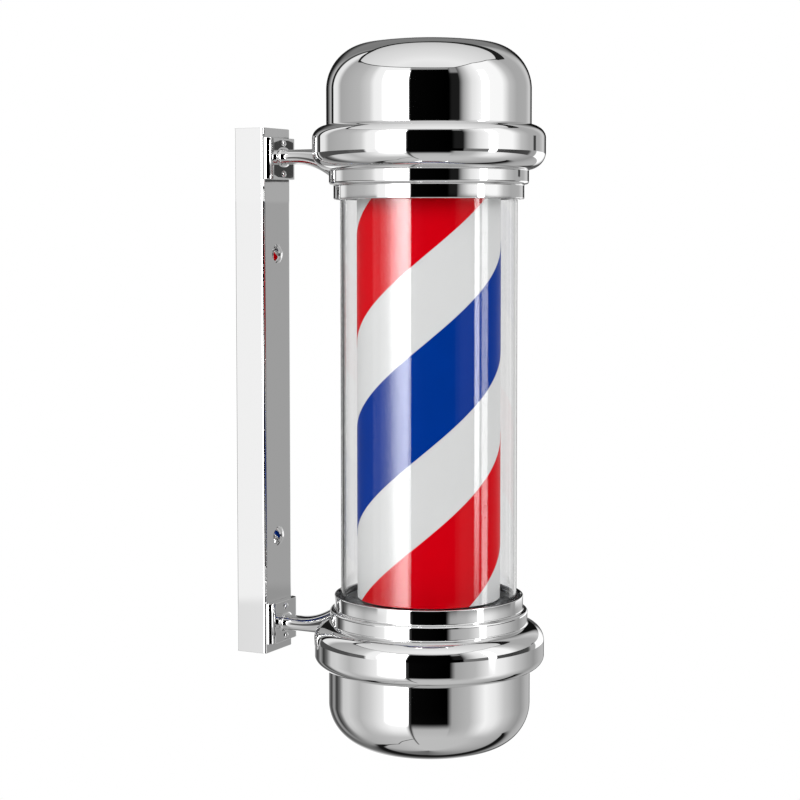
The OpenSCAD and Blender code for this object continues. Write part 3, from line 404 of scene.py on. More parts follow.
def new_material(name):
    """A new material, its shader and the place in Object coordinates."""
    material = bpy.data.materials.new(name)
    material.use_nodes = True
    tree = material.node_tree
    return material, tree.nodes["Principled BSDF"], add(tree, "ShaderNodeTexCoord").outputs["Object"]


def finish(name):
    """The material of a finish, made when it is first asked for."""
    if name not in bpy.data.materials:
        _, shader, place = new_material(name)
        make, *details = FINISHES[name]
        make(shader, place, *details)
    return bpy.data.materials[name]


def noise(place, size, detail):
    """Noise whose pattern has the given size in metres."""
    values = {"Scale": 1 / size, "Detail": detail}
    return add(place.id_data, "ShaderNodeTexNoise", values, {"Vector": place}).outputs["Fac"]


def tint(shader, share, first, second):
    """Base colour that wanders between two colours."""
    made = add(shader.id_data, "ShaderNodeMixRGB", {"Color1": first, "Color2": second}, {"Fac": share})
    feed(shader, "Base Color", made.outputs["Color"])


def roughen(shader, source, low, high, start=0.0, end=1.0):
    """Roughness from low to high while the source goes from start to end."""
    values = {"From Min": start, "From Max": end, "To Min": low, "To Max": high}
    made = add(shader.id_data, "ShaderNodeMapRange", values, {"Value": source})
    feed(shader, "Roughness", made.outputs["Result"])


def emboss(shader, height, strength, depth):
    """Fine relief, which only tilts the reflections."""
    values = {"Strength": strength, "Distance": depth}
    made = add(shader.id_data, "ShaderNodeBump", values, {"Height": height})
    feed(shader, "Normal", made.outputs["Normal"])


def chrome_plate(shader, place):
    """Decorative chrome over polished nickel: mirror bright, with the faint waves of hand polishing."""
    set_sockets(shader, {"Base Color": bpy.context.scene.pole_colours.chrome, "Metallic": 1})
    # Waves about 40 mm long are left by the polishing wheel, and haze about 12 mm across by cleaning
    emboss(shader, noise(place, 40 * MM, 1), 0.03, 0.5 * MM)
    roughen(shader, noise(place, 12 * MM, 3), 0.012, 0.03, 0.35, 0.75)


def zinc_plate(shader, place):
    """Pressed steel with bright zinc plate: grey, slightly cloudy, with fine rolling lines."""
    set_sockets(shader, {"Metallic": 1})
    cloud = noise(place, 20 * MM, 4)
    tint(shader, cloud, linear("#9A9DA0"), linear("#B7B9BC"))
    roughen(shader, cloud, 0.28, 0.42)
    # Rolling lines 0.8 mm apart, drawn out to 20 times that along the sheet
    drawn_out = add(shader.id_data, "ShaderNodeMapping", {"Scale": (1, 0.05, 0.05)}, {"Vector": place})
    emboss(shader, noise(drawn_out.outputs["Vector"], 0.8 * MM, 2), 0.12, 0.1 * MM)


def bright_steel(shader, place):
    """Turned and ground steel: bright, with the rings left by the tool."""
    set_sockets(shader, {"Metallic": 1, "Base Color": linear("#C3C4C6")})
    # A wave of scale 1 repeats every 0.314, so these tool rings lie 3.8 mm apart
    values = {"Scale": 1 / (12 * MM), "Distortion": 0.6}
    rings = add(shader.id_data, "ShaderNodeTexWave", values, {"Vector": place}, bands_direction="Z")
    roughen(shader, rings.outputs["Fac"], 0.18, 0.3)


def clear_acrylic(shader, place):
    """Extruded clear acrylic: water clear and polished, with hair-fine wipe marks in its gloss."""
    set_sockets(shader, {"Base Color": linear("#F7F7F7"), "Specular Tint": (0.6, 0.6, 0.6, 1)})
    set_sockets(shader, {"IOR": 1.49, "Transmission Weight": 1})
    roughen(shader, noise(place, 30 * MM, 2), 0.0, 0.003)
    # Light reaches the drum through the clear wall as through air
    rays = add(shader.id_data, "ShaderNodeLightPath").outputs
    through = add(shader.id_data, "ShaderNodeBsdfTransparent", {"Color": linear("#F6F6F6")})
    show_mixed(maths("MAXIMUM", rays["Is Shadow Ray"], rays["Is Reflection Ray"]), shader, through)


def seal_rubber(shader, place):
    """Moulded EPDM rubber: near black, matt, with a fine pitted skin."""
    set_sockets(shader, {"Base Color": linear("#1E1F21"), "Roughness": 0.75})
    # Pits about 0.5 mm across
    emboss(shader, noise(place, 0.5 * MM, 2), 0.3, 0.1 * MM)


def drum_enamel(shader, place):
    """Baked white enamel on the drum: even, satin, with a faint orange peel."""
    set_sockets(shader, {"Roughness": 0.3, "Specular IOR Level": 0.02})
    tint(shader, noise(place, 80 * MM, 2), bpy.context.scene.pole_colours.white, linear("#E4E5E5"))
    # Orange peel 3 mm across
    emboss(shader, noise(place, 3 * MM, 1), 0.05, 0.1 * MM)


def stripe_vinyl(shader, place, base, deep):
    """Calendered vinyl film: full colour, half gloss, with a slight cloudiness of the pigment."""
    set_sockets(shader, {"Roughness": 0.3, "Specular IOR Level": 0.01})
    tint(shader, noise(place, 50 * MM, 3), getattr(bpy.context.scene.pole_colours, base), linear(deep))
    # Calender grain 1.5 mm across
    emboss(shader, noise(place, 1.5 * MM, 1), 0.04, 0.05 * MM)


def moulded_plastic(shader, place, base, deep, roughness):
    """Injection-moulded plastic with an eroded-steel texture from its tool."""
    set_sockets(shader, {"Roughness": roughness, "IOR": 1.53})
    tint(shader, noise(place, 15 * MM, 2), linear(base), linear(deep))
    # Tool texture 0.4 mm across
    emboss(shader, noise(place, 0.4 * MM, 2), 0.12, 0.05 * MM)


def passivated_steel(shader, place):
    """Yellow-passivated motor can: brassy, with rainbow-like clouds of the passivation."""
    set_sockets(shader, {"Metallic": 1})
    cloud = noise(place, 10 * MM, 3)
    tint(shader, cloud, linear("#B9A160"), linear("#CDBE8C"))
    roughen(shader, cloud, 0.25, 0.38)


def lamp_brass(shader, place):
    """Pressed brass cap of the lamp: warm and lightly tarnished."""
    set_sockets(shader, {"Metallic": 1, "Roughness": 0.25})
    tint(shader, noise(place, 6 * MM, 3), linear("#B08D4A"), linear("#D9BC78"))


def opal_glass(shader, place):
    """Inside-frosted lamp glass: milky white with a polished outside."""
    set_sockets(shader, {"Roughness": 0.12, "IOR": 1.5})
    tint(shader, noise(place, 20 * MM, 2), linear("#F2F1EC"), linear("#E9E8E2"))


# Name of each finish, what makes it, and its colours and roughness where the maker serves several
FINISHES = {
    "chrome_plate_polished": (chrome_plate,),
    "zinc_plated_steel": (zinc_plate,),
    "ground_bright_steel": (bright_steel,),
    "clear_acrylic_extruded": (clear_acrylic,),
    "epdm_rubber_moulded": (seal_rubber,),
    "white_enamel_baked": (drum_enamel,),
    "red_vinyl_film": (stripe_vinyl, "red", "#D80012"),  # signal red
    "blue_vinyl_film": (stripe_vinyl, "blue", "#003594"),  # ultramarine
    "white_abs_moulded": (moulded_plastic, "#E7E6E2", "#DEDDD8", 0.45),  # satin white ABS
    "natural_nylon": (moulded_plastic, "#DCD7C8", "#D2CCBA", 0.4),  # milky and waxy
    "black_polycarbonate_moulded": (moulded_plastic, "#1B1C1E", "#232427", 0.42),  # satin black
    "black_abs_glossy": (moulded_plastic, "#151618", "#1B1C1E", 0.25),  # glossier than the frame round it
    "grey_pvc_wire_cover": (moulded_plastic, "#8C8F92", "#7F8285", 0.35),  # extruded, slightly glossy
    "yellow_passivated_steel": (passivated_steel,),
    "pressed_brass": (lamp_brass,),
    "opal_lamp_glass": (opal_glass,),
}

CARRIED_NODES = {
    "zinc_plated_steel": [
        "wall_plate", "wall_standoffs", "arm_nuts", "ring_screws", "upper_end_plate", "lower_end_plate",
        "plate_screws", "motor_gear_cover", "motor_screws", "motor_nuts", "holder_screws", "hub_screws",
    ],
    "ground_bright_steel": ["motor_shaft", "hub_set_screw", "drive_hub", "terminal_screws"],
    "epdm_rubber_moulded": ["upper_glass_seal", "lower_glass_seal"],
    "white_abs_moulded": ["drum_top_ring", "drum_bottom_disc", "guide_collar", "terminal_block"],
    "natural_nylon": ["thrust_washer"],
    "black_polycarbonate_moulded": ["lamp_holder", "switch_frame", "cable_gland", "gland_locknut"],
    "black_abs_glossy": ["lamp_rocker", "motor_rocker"],
    "grey_pvc_wire_cover": ["lamp_lead", "motor_lead", "switch_lead"],
    "yellow_passivated_steel": ["motor_case"],
    "pressed_brass": ["lamp_base"],
    "opal_lamp_glass": ["lamp_body"],
}


# Pieces


def ring_outside(s, grow=0.0):
    """Outer outline of an end ring, from its rim to the dome's seat."""
    band_z = s.collar_h + s.step_h + s.sweep_h
    shoulder_z = band_z + s.band_h
    sweep_a = s.bead_r - s.step_r + s.sweep_under
    shoulder_r = s.bead_r - s.shoulder_w
    shoulder_end = math.degrees(math.acos((s.dome_r - shoulder_r) / s.shoulder_w))
    shoulder_b = s.shoulder_h / math.sin(math.radians(shoulder_end))
    rim, step, hollow = s.rim_round + grow, s.step_round + grow, s.step_hollow - grow

    def sweep_at(r):
        return -math.acos((r - s.step_r + s.sweep_under) / (sweep_a + grow))

    start = sweep_at(s.step_r + s.step_hollow)
    tilt = math.atan2(s.sweep_h * math.cos(start), -sweep_a * math.sin(start))
    start = sweep_at(s.step_r + grow + hollow * (1 - math.sin(tilt)))
    foot_z = band_z + (s.sweep_h + grow) * math.sin(start) - hollow * math.cos(tilt)
    start = math.degrees(start)
    return (
        arc(s.collar_r - s.rim_round, s.rim_round, rim, rim, -90, 0, 8)
        + arc(s.collar_r + s.step_hollow, s.collar_h - s.step_hollow, hollow, hollow, 180, 90, 8)
        + arc(s.step_r - s.step_round, s.collar_h + s.step_round, step, step, -90, 0, 12)
        + arc(s.step_r + s.step_hollow, foot_z, hollow, hollow, 180, 100 + math.degrees(tilt), 8)
        + arc(s.step_r - s.sweep_under, band_z, sweep_a + grow, s.sweep_h + grow, start, 0, 28)
        + arc(shoulder_r, shoulder_z, s.shoulder_w + grow, shoulder_b + grow, 0, shoulder_end, 28)
    )


def rising(outline, side):
    """An outline with its heights measured from a rim, away from the pole's middle."""
    return [(r, side * (RIM_Z - MID_Z + h)) for r, h in outline]


def dome_seat(s):
    """Height over the rim at which a dome sits on its ring."""
    return s.collar_h + s.step_h + s.sweep_h + s.band_h + s.shoulder_h


class BARBERPOLE_OT_end_rings(bpy.types.Operator):
    """Turn the two cast end rings"""

    bl_idname = "barberpole.end_rings"
    bl_label = "End rings"

    def execute(self, context):
        s = context.scene.pole_ends
        seat = dome_seat(s)
        spigot_r = s.dome_r - s.dome_wall - s.spigot_gap
        pocket_r = s.collar_r - s.rim_wall
        ledge_r = pocket_r - s.ledge_w
        outside = ring_outside(s)
        inside = [
            (spigot_r, seat), (spigot_r, seat + s.spigot_h),
            (spigot_r - s.wall, seat + s.spigot_h), (spigot_r - s.wall, seat - s.wall),
            (s.bead_r - s.wall, seat - s.shoulder_h), (s.bead_r - s.wall, seat - s.shoulder_h - s.band_h),
            (s.step_r, s.collar_h + s.step_h + s.wall), (ledge_r, s.collar_h + s.step_h),
            (ledge_r, s.ledge_z), (pocket_r, s.ledge_z), (pocket_r, s.lip), (pocket_r + s.lip, 0),
        ]
        upper = turned("upper_ring_casting", POLE, rising(outside + inside + outside[:1], 1))
        lower = mirrored(upper, "lower_ring_casting")
        chromed(upper, "upper_end_ring")
        chromed(lower, "lower_end_ring")
        return {"FINISHED"}


def dome_outline(s, wall, land=0.0):
    """Outline of a dome from its apex to its seat; wall is how far it lies inside the outside."""
    seat = dome_seat(s)
    apex = DOME_HIGH.z - RIM_Z
    knuckle_x = s.dome_r - s.knuckle_r
    knuckle_z = seat + s.dome_side
    rise = apex - knuckle_z
    crown_r = (knuckle_x**2 + rise**2 - s.knuckle_r**2) / (2 * (rise - s.knuckle_r))
    crown_z = apex - crown_r
    turn = math.degrees(math.atan2(knuckle_z - crown_z, knuckle_x))
    top = math.degrees(math.acos(land / crown_r))
    crown = arc(0, crown_z, crown_r - wall, crown_r - wall, top, turn, 16)
    if land:
        crown = [(0, crown_z + math.sqrt(crown_r**2 - land**2) - wall)] + crown
    knuckle = arc(knuckle_x, knuckle_z, s.knuckle_r - wall, s.knuckle_r - wall, turn, 0, 40)
    return crown + knuckle[1:] + [(s.dome_r - wall, seat)]


class BARBERPOLE_OT_domes(bpy.types.Operator):
    """Spin the two domes and cut the openings of the lower one"""

    bl_idname = "barberpole.domes"
    bl_label = "Domes"

    def execute(self, context):
        s = context.scene.pole_ends
        for name, node, side, land in (
            ("upper_dome_shell", "upper_dome", 1, 0.0),
            ("lower_dome_shell", "lower_dome", -1, s.land_r),
        ):
            outline = dome_outline(s, 0.0, land) + dome_outline(s, s.dome_wall, land)[::-1]
            dome = turned(name, POLE, rising(outline, side))
            hole_place = POLE + Vector((0, 0, side * (RIM_Z - MID_Z + s.screw_z)))
            cutters = [
                rod("screw_cutter", hole_place, s.screw_hole_r, s.dome_r - RUN_PAST, s.dome_r + RUN_PAST)
            ]
            if land:
                low, high, _ = node_box("switch_frame")
                inset = Vector((s.switch_lip, s.switch_lip, 0))
                well = box("switch_cutter", low + inset, high - inset)
                bpy.ops.object.mode_set(mode="OBJECT")
                gland = node_box("cable_gland")[2]
                cutters += [well, rod("gland_cutter", gland, s.gland_hole_r, -DEEP, DEEP, (0, 0, 1))]
            cut(dome, *cutters)
            chromed(dome, node)
        return {"FINISHED"}


def tube_outline(inner, outer, half, edge, inner_edge):
    """Outline of a tube, with chamfers at the outer and inner edges of its ends."""
    corners = [(inner + inner_edge, -half), (outer - edge, -half), (outer, edge - half)]
    corners += [(r, -h) for r, h in reversed(corners)]
    if inner_edge:
        corners += [(inner, half - inner_edge), (inner, inner_edge - half)]
    return corners + corners[:1]


class BARBERPOLE_OT_clear_cylinder(bpy.types.Operator):
    """Turn the clear cylinder"""

    bl_idname = "barberpole.clear_cylinder"
    bl_label = "Clear cylinder"

    def execute(self, context):
        s = context.scene.pole_drum
        edge = s.glass_edge
        outline = tube_outline(s.glass_r - s.glass_wall, s.glass_r, GLASS_HIGH.z - MID_Z, edge, edge)
        cylinder = turned("clear_cylinder", POLE, outline)
        fit(cylinder, finish("clear_acrylic_extruded"), "clear_cylinder", "frame", "glass_tube")
        return {"FINISHED"}


class BARBERPOLE_OT_drum(bpy.types.Operator):
    """Roll the drum's tube and lay on its two stripes"""

    bl_idname = "barberpole.drum"
    bl_label = "Drum and stripes"

    def execute(self, context):
        s = context.scene.pole_drum
        half = DRUM_HIGH.z - MID_Z
        outline = tube_outline(s.drum_r - s.drum_wall, s.drum_r, half, s.drum_edge, 0)
        tube = turned("drum_enamelled", POLE, outline)
        fit(tube, finish("white_enamel_baked"), "white_drum", "drum", "drum_tube")
        for name, node, material, slot, turn in (
            ("red_stripe_film", "red_stripe", "red_vinyl_film", "red_film", s.stripe_turn + math.pi),
            ("blue_stripe_film", "blue_stripe", "blue_vinyl_film", "blue_film", s.stripe_turn),
        ):
            film = self.film(s, name, turn, half)
            fit(film, finish(material), slot, "drum", node)
        return {"FINISHED"}

    def film(self, s, name, turn, half):
        """A helical band, cut level at the drum's ends."""
        reach = TURN * (half + s.stripe_h / 2) / s.pitch + FILM_SPARE
        steps = math.ceil(2 * reach / FILM_STEP)
        radius = s.drum_r + s.film_gap
        start = turn - reach
        low = MID_Z - s.pitch * reach / TURN - s.stripe_h / 2
        bpy.ops.mesh.primitive_plane_add(size=MM, location=(POLE.x, POLE.y, 0))
        piece = begin(name)
        bpy.ops.mesh.merge(type="CENTER")
        bpy.ops.transform.translate(value=(radius * math.cos(start), radius * math.sin(start), low))
        row = {"value": (0, 0, s.stripe_h / FILM_ROWS)}
        for _ in range(FILM_ROWS):
            bpy.ops.mesh.extrude_region_move(TRANSFORM_OT_translate=row)
        bpy.ops.object.mode_set(mode="OBJECT")
        apply_modifier(
            piece, "SCREW", axis="Z", angle=2 * reach, screw_offset=s.pitch * 2 * reach / TURN,
            steps=steps, render_steps=steps, use_smooth_shade=False,
        )
        bpy.ops.object.mode_set(mode="EDIT")
        for height, outward in ((MID_Z + half, True), (MID_Z - half, False)):
            bpy.ops.mesh.select_all(action="SELECT")
            bpy.ops.mesh.bisect(
                plane_co=(0, 0, height), plane_no=(0, 0, 1), clear_outer=outward, clear_inner=not outward
            )
        weld()
        mesh = bmesh.from_edit_mesh(piece.data)
        face = next(iter(mesh.faces))
        if face.calc_center_median().xy.dot(face.normal.xy) < 0:
            bpy.ops.mesh.flip_normals()
        bpy.ops.object.mode_set(mode="OBJECT")
        apply_modifier(piece, "SOLIDIFY", thickness=s.film, offset=1)
        return close(piece)


class BARBERPOLE_OT_arms(bpy.types.Operator):
    """Cast the two arms, each a foot with an oval neck that meets the end ring"""

    bl_idname = "barberpole.arms"
    bl_label = "Arms"

    def execute(self, context):
        s, ends = context.scene.pole_mount, context.scene.pole_ends
        front = CHANNEL_LOW.y
        middle_z = MID_Z + s.arm_z
        half_w = CHANNEL_HIGH.x
        foot = box(
            "upper_arm_casting",
            Vector((-half_w, front - s.foot_t, middle_z - s.foot_h / 2)),
            Vector((half_w, front, middle_z + s.foot_h / 2)),
        )
        round_edges(foot, side_edges(front - s.foot_t), s.foot_edge, 14)
        round_edges(foot, lambda place: abs(abs(place.z - middle_z) - s.foot_h / 2) < WELD, s.foot_rim, 3)
        close(foot)
        cut(foot, self.neck(s, front, middle_z), operation="UNION")
        outline = [(0, 0)] + ring_outside(ends, s.ring_gap) + [(0, dome_seat(ends))]
        ring = turned("ring_cutter", POLE, rising(outline, 1))
        places = [Vector((0, 0, middle_z + side * s.foot_screw_z)) for side in (-1, 1)]
        holes = [rod("hole_cutter", place, s.foot_hole_r, front - DEEP, 0) for place in places]
        cut(foot, ring, *holes)
        lower = mirrored(foot, "lower_arm_casting")
        chromed(foot, "upper_arm")
        chromed(lower, "lower_arm")
        return {"FINISHED"}

    def neck(self, s, front, middle_z):
        """Oval neck, drawn out station by station from the foot into the ring."""
        first, end = s.foot_t + s.fillet, s.fall_y + s.fall_l * NECK_RUN
        turns = [math.pi / 2 * i / FILLET_STEPS for i in range(FILLET_STEPS + 1)]
        stations = [(s.foot_t - MM, s.fillet)]
        stations += [(s.foot_t + s.fillet * (1 - math.cos(t)), s.fillet * (1 - math.sin(t))) for t in turns]
        stations += [(first + (end - first) * i / NECK_STEPS, 0.0) for i in range(1, NECK_STEPS + 1)]

        def oval(y, grow):
            fall = 0.0 if y < s.fall_y else s.neck_fall * ((y - s.fall_y) / s.fall_l) ** 2
            high, low = s.neck_out + grow, -s.neck_in - fall - grow
            half_x = s.neck_half + s.flare * ((y - s.foot_t) / s.flare_l) ** 2 + grow
            return half_x, (high - low) / 2, middle_z + (high + low) / 2

        half_x, half_z, centre_z = oval(*stations[0])
        bpy.ops.mesh.primitive_circle_add(
            vertices=NECK_POINTS, radius=1, fill_type="NGON", rotation=(math.pi / 2, 0, 0)
        )
        bpy.ops.object.transform_apply(location=True, rotation=True, scale=True)
        neck = begin("neck_core")
        mesh = bmesh.from_edit_mesh(neck.data)
        for v in mesh.verts:
            v.co.x = math.copysign(abs(v.co.x) ** (2 / NECK_POWER), v.co.x)
            v.co.z = math.copysign(abs(v.co.z) ** (2 / NECK_POWER), v.co.z)
        bmesh.update_edit_mesh(neck.data)
        bpy.ops.transform.resize(value=(half_x, 1, half_z), center_override=(0, 0, 0))
        bpy.ops.transform.translate(value=(0, front - stations[0][0], centre_z))
        for (y0, g0), (y1, g1) in zip(stations, stations[1:]):
            x0, z0, c0 = oval(y0, g0)
            x1, z1, c1 = oval(y1, g1)
            bpy.ops.mesh.extrude_region_move(TRANSFORM_OT_translate={"value": (0, y0 - y1, 0)})
            bpy.ops.transform.resize(value=(x1 / x0, 1, z1 / z0), center_override=(0, front - y1, c0))
            bpy.ops.transform.translate(value=(0, 0, c1 - c0))
        weld()
        return close(neck)


class BARBERPOLE_OT_wall_channel(bpy.types.Operator):
    """Press the wall channel from sheet"""

    bl_idname = "barberpole.wall_channel"
    bl_label = "Wall channel"

    def execute(self, context):
        s = context.scene.pole_mount
        channel = box("channel_pressing", CHANNEL_LOW, CHANNEL_HIGH)
        select_only(channel, "faces", lambda f: f.normal.y > 0.9)
        bpy.ops.mesh.delete(type="FACE")
        round_edges(channel, side_edges(CHANNEL_LOW.y), s.channel_edge, 10)

        def at_end(place):
            off = min(abs(place.z - CHANNEL_LOW.z), abs(place.z - CHANNEL_HIGH.z))
            return off < WELD and place.y < -WELD

        round_edges(channel, at_end, s.end_edge, 3)
        close(channel)
        apply_modifier(channel, "SOLIDIFY", thickness=s.sheet, offset=-1, use_even_offset=True)
        begin("channel_pressing")
        round_edges(channel, side_edges(CHANNEL_HIGH.y), s.rear_edge, 4)
        close(channel)
        chromed(channel, "wall_channel")
        return {"FINISHED"}


def domed_screw(name, seat, direction, head_r, head_h, shank_r, shank_l):
    """A screw with a domed head whose flat side lies on its seat; direction points out of the head."""
    ball_r = (head_r**2 + head_h**2) / (2 * head_h)
    edge = math.degrees(math.asin(head_r / ball_r))
    head = arc(0, head_h - ball_r, ball_r, ball_r, 90 - edge, 90, 12)
    outline = [(0, -shank_l), (shank_r, -shank_l), (shank_r, 0)] + head[:-1] + [(0, head_h)]
    return turned(name, seat, outline, direction, SMALL_STEPS)


class BARBERPOLE_OT_screws(bpy.types.Operator):
    """Turn the screws that show: channel, arm feet and domes"""

    bl_idname = "barberpole.screws"
    bl_label = "Screws"

    def execute(self, context):
        s, ends = context.scene.pole_mount, context.scene.pole_ends
        # Name, node, seats, direction, radius and height of the head, radius and length of the shank
        groups = (
            (
                "cover_screw_pair", "cover_screws",
                [
                    Vector((0, CHANNEL_LOW.y, z))
                    for z in (COVER_LOW.z + COVER_HIGH.x, COVER_HIGH.z - COVER_HIGH.x)
                ],
                (0, -1, 0), COVER_HIGH.x, s.cover_head_h, 2.5 * MM, 16 * MM,
            ),
            (
                "foot_screw_set", "arm_screws",
                [
                    Vector((0, CHANNEL_LOW.y - s.foot_t, MID_Z + end * s.arm_z + side * s.foot_screw_z))
                    for end in (-1, 1) for side in (-1, 1)
                ],
                (0, -1, 0), s.foot_head_r, s.foot_head_h, 1.8 * MM, 13 * MM,
            ),
            (
                "dome_screw_pair", "dome_screws",
                [
                    Vector((0, POLE.y + ends.dome_r, MID_Z + end * (RIM_Z - MID_Z + ends.screw_z)))
                    for end in (-1, 1)
                ],
                (0, 1, 0), s.dome_head_r, s.dome_head_h, 2 * MM, 8 * MM,
            ),
        )
        for name, node, seats, *shape in groups:
            made = [domed_screw(name, seat, *shape) for seat in seats]
            for screw in made:
                screw.select_set(True)
            bpy.context.view_layer.objects.active = made[0]
            bpy.ops.object.join()
            chromed(made[0], node)
        return {"FINISHED"}


class BARBERPOLE_OT_finishes(bpy.types.Operator):
    """Give each carried-over CAD node its finish"""

    bl_idname = "barberpole.finishes"
    bl_label = "Finishes"

    def execute(self, context):
        for name, nodes in CARRIED_NODES.items():
            for node in nodes:
                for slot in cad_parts[node].material_slots:
                    slot.material = finish(name)
        return {"FINISHED"}


# Studio

TENT_R = 4.0
FLOOR_Z = -1.55  # height of the floor under the hanging pole
END_Z = 0.3  # height of the two ends over the pole's middle, from which the cards are laid out
# Cards by direction, in degrees from the camera towards image right, as the grey that gloss shows
UPPER_CARDS = (
    (-180, 90), (-172, 24), (-156, 24), (-150, 110), (-142, 180), (-139.5, 8), (-134.5, 8), (-133.5, 230),
    (-124, 225), (-116, 163), (-84, 180), (-70, 205), (-64, 240), (-56, 243), (-25, 248), (-23, 4),
    (20, 0), (23, 26), (31, 26), (36, 160), (46, 225), (58, 250), (86, 248), (98, 190), (112, 165),
    (134, 165), (148, 195), (154, 150), (157, 12), (170, 12), (180, 90),
)
LOWER_CARDS = (
    (-180, 250), (-166, 240), (-156, 110), (-146, 60), (-138, 150), (-130, 40), (-122, 110), (-114, 200),
    (-104, 205), (-86, 178), (-70, 203), (-58, 228), (-46, 246), (-28, 250), (-22, 6), (19, 0), (24, 160),
    (44, 180), (54, 215), (64, 244), (78, 230), (92, 195), (112, 160), (124, 145), (140, 168), (158, 170),
    (161, 50), (165, 50), (170, 235), (180, 250),
)
# Steepness (rise over distance, halved) at which the walls end, and the width of the dark strip there
UPPER_EDGE = (
    (-180, 0.8), (-150, 0.74), (-132, 0.64), (-112, 0.43), (30, 0.4), (60, 0.52), (90, 0.527),
    (110, 0.46), (126, 0.55), (150, 0.75), (180, 0.8),
)
UPPER_STRIP = (
    (-180, 0.14), (-150, 0.09), (-125, 0.08), (-113, 0.04), (-104, 0.008), (106, 0.008), (113, 0.06),
    (124, 0.17), (150, 0.19), (180, 0.14),
)
LOWER_EDGE = (
    (-180, 1.05), (-150, 0.95), (-120, 0.86), (-96, 1.0), (-66, 1.1), (-48, 0.85), (-26, 0.67),
    (114, 0.4), (128, 0.5), (150, 0.75), (180, 1.05),
)
LOWER_STRIP = (
    (-180, 0.5), (-150, 0.45), (-128, 0.2), (-104, 0.1), (-94, 0.04), (-60, 0.03), (-25, 0.02), (-22, 0),
    (112, 0), (120, 0.12), (144, 0.35), (180, 0.5),
)
# Cards at the height that only the clear cylinder and the channel reflect
MIDDLE_CARDS = (
    (-180, 200), (-162, 120), (-152, 245), (-141, 240), (-136, 75), (-88, 75), (-84, 90), (-66.5, 90),
    (-65.5, 240), (-55, 240), (-50, 170), (-25, 170), (-24, 4), (31, 0), (32.5, 110), (57, 110), (64, 80),
    (86, 60), (112, 70), (117, 156), (126.5, 156), (128, 255), (152, 255), (160, 200), (164, 60),
    (172, 90), (180, 200),
)
# Grey of the ceiling from behind the pole to over the camera
CEILING = ((-180, 120), (-110, 170), (-80, 196), (-30, 210), (40, 222), (85, 233), (120, 226), (180, 208))
# Share of the grey that the upper half's rear cards have at their top, then grey of the table
UPPER_REAR = ((-180, 1), (-146, 1), (-134, 0), (140, 0), (156, 1), (180, 1))
TABLE = ((-180, 100), (-140, 110), (-110, 170), (-40, 188), (60, 186), (110, 165), (180, 100))
# Strengths of the two light panels by direction, and the steepness to which they reach
PANEL = (
    (-180, 0), (-54, 0), (-48, 0.2), (-45, 0.38), (-40, 0.72), (-32, 1), (-25.3, 1), (-24.7, 0), (180, 0),
)
SIDE_PANEL = ((-180, 0), (58, 0), (59, 0.75), (60, 1), (65, 1), (66.5, 0), (180, 0))
PANEL_STEEP = 0.3
# Cards that change tone at their top: start and end direction, steepness from and to, grey there
CARD_TOPS = ((-23, 21, 0.33, 0.36, 150), (23, 31, 0.22, 0.28, 135))
REAR_TOP, REAR_GREY = (0.15, 0.3), 118  # the same for the rear cards, steepness and grey
# Dark card in front of the upper arm's foot: directions and softness, height, half its own height, grey
FOOT_CARD, FOOT_CARD_Z, FOOT_CARD_HALF, FOOT_GREY = (120.4, 125.2, 0.6), 0.377, 0.067, 62
STRIP_GREY, SEAM_GREY = 30, 20  # dark strips at the ends of the upper and the lower walls
CEILING_SOFT, STRIP_SOFT = 0.008, 0.01  # how softly ceiling and strip begin
# Lower half: the dark card's fade into grey, the walls' fade into the table, the dark seam and a thin wire
DARK_CARD, DARK_FADE, DARK_GREY = (-20, 21, 3), (0.12, 0.3), 176
TABLE_FADE = (0.2, 0.62)
SEAM_FADE, THINNEST_SEAM = (0.3, 1.0), 0.005
WIRE, WIRE_STEEP, WIRE_GREY = (-23.6, -22.6, 0.8), 1.3, 25
# Heights over which one layout of cards gives way to the next, and over which the panels grow
HALVES_MEET, MIDDLE_START, MIDDLE_END = (-0.9, 0.3), (-0.95, -0.91), (0.24, 0.255)
PANEL_GROWS, SIDE_PANEL_GROWS = (-1.9, 0.9), (-1.15, -0.3)
CAMERA_AZIMUTH = math.radians(207.84)
CHROME_SHARE = 1.45  # emission that chrome shows as white
FLOOR_R = 14
FLOOR_SHADOW, FLOOR_WHITE = 0.6, 1.8  # how far out the floor's shadow starts to fade and where it is gone
LAMP_AWAY, LAMP_SIZE = 2, 1.4  # distance of the lamps from the pole, and their size


def grey(level):
    """Linear grey of an sRGB level between 0 and 255."""
    return linear("#" + f"{level:02X}" * 3)


def times(*factors):
    """Product of two or more sockets and numbers, the first a socket."""
    product = factors[0]
    for factor in factors[1:]:
        product = maths("MULTIPLY", product, factor)
    return product


def minus(first, second):
    """Difference of two sockets or numbers."""
    return maths("SUBTRACT", first, second)


def between(limits, value):
    """Rises softly from 0 to 1 while the value goes from the lower to the upper limit."""
    values = {"From Min": limits[0], "From Max": limits[1]}
    kind = {"interpolation_type": "SMOOTHSTEP"}
    return add(value.id_data, "ShaderNodeMapRange", values, {"Value": value}, **kind).outputs["Result"]


def blend(share, first, second):
    """First where the share is 0, second where it is 1."""
    return maths("ADD", times(minus(1.0, share), first), times(share, second))


def ramp(source, stops, shade=False):
    """A colour ramp over directions in degrees, of plain levels or of greys."""
    made = add(source.id_data, "ShaderNodeValToRGB", links={"Fac": source})
    elements = made.color_ramp.elements
    for direction, _ in stops[1:-1]:
        elements.new((direction + 180) / 360)
    for stop, (_, level) in zip(elements, stops):
        stop.color = grey(level) if shade else (level, level, level, 1)
    return made.outputs["Color"]


def bar(around, start, end, soft=1.5):
    """1 between two directions in degrees, with soft ends."""
    return ramp(around, ((-180, 0), (start - soft, 0), (start, 1), (end, 1), (end + soft, 0), (180, 0)))


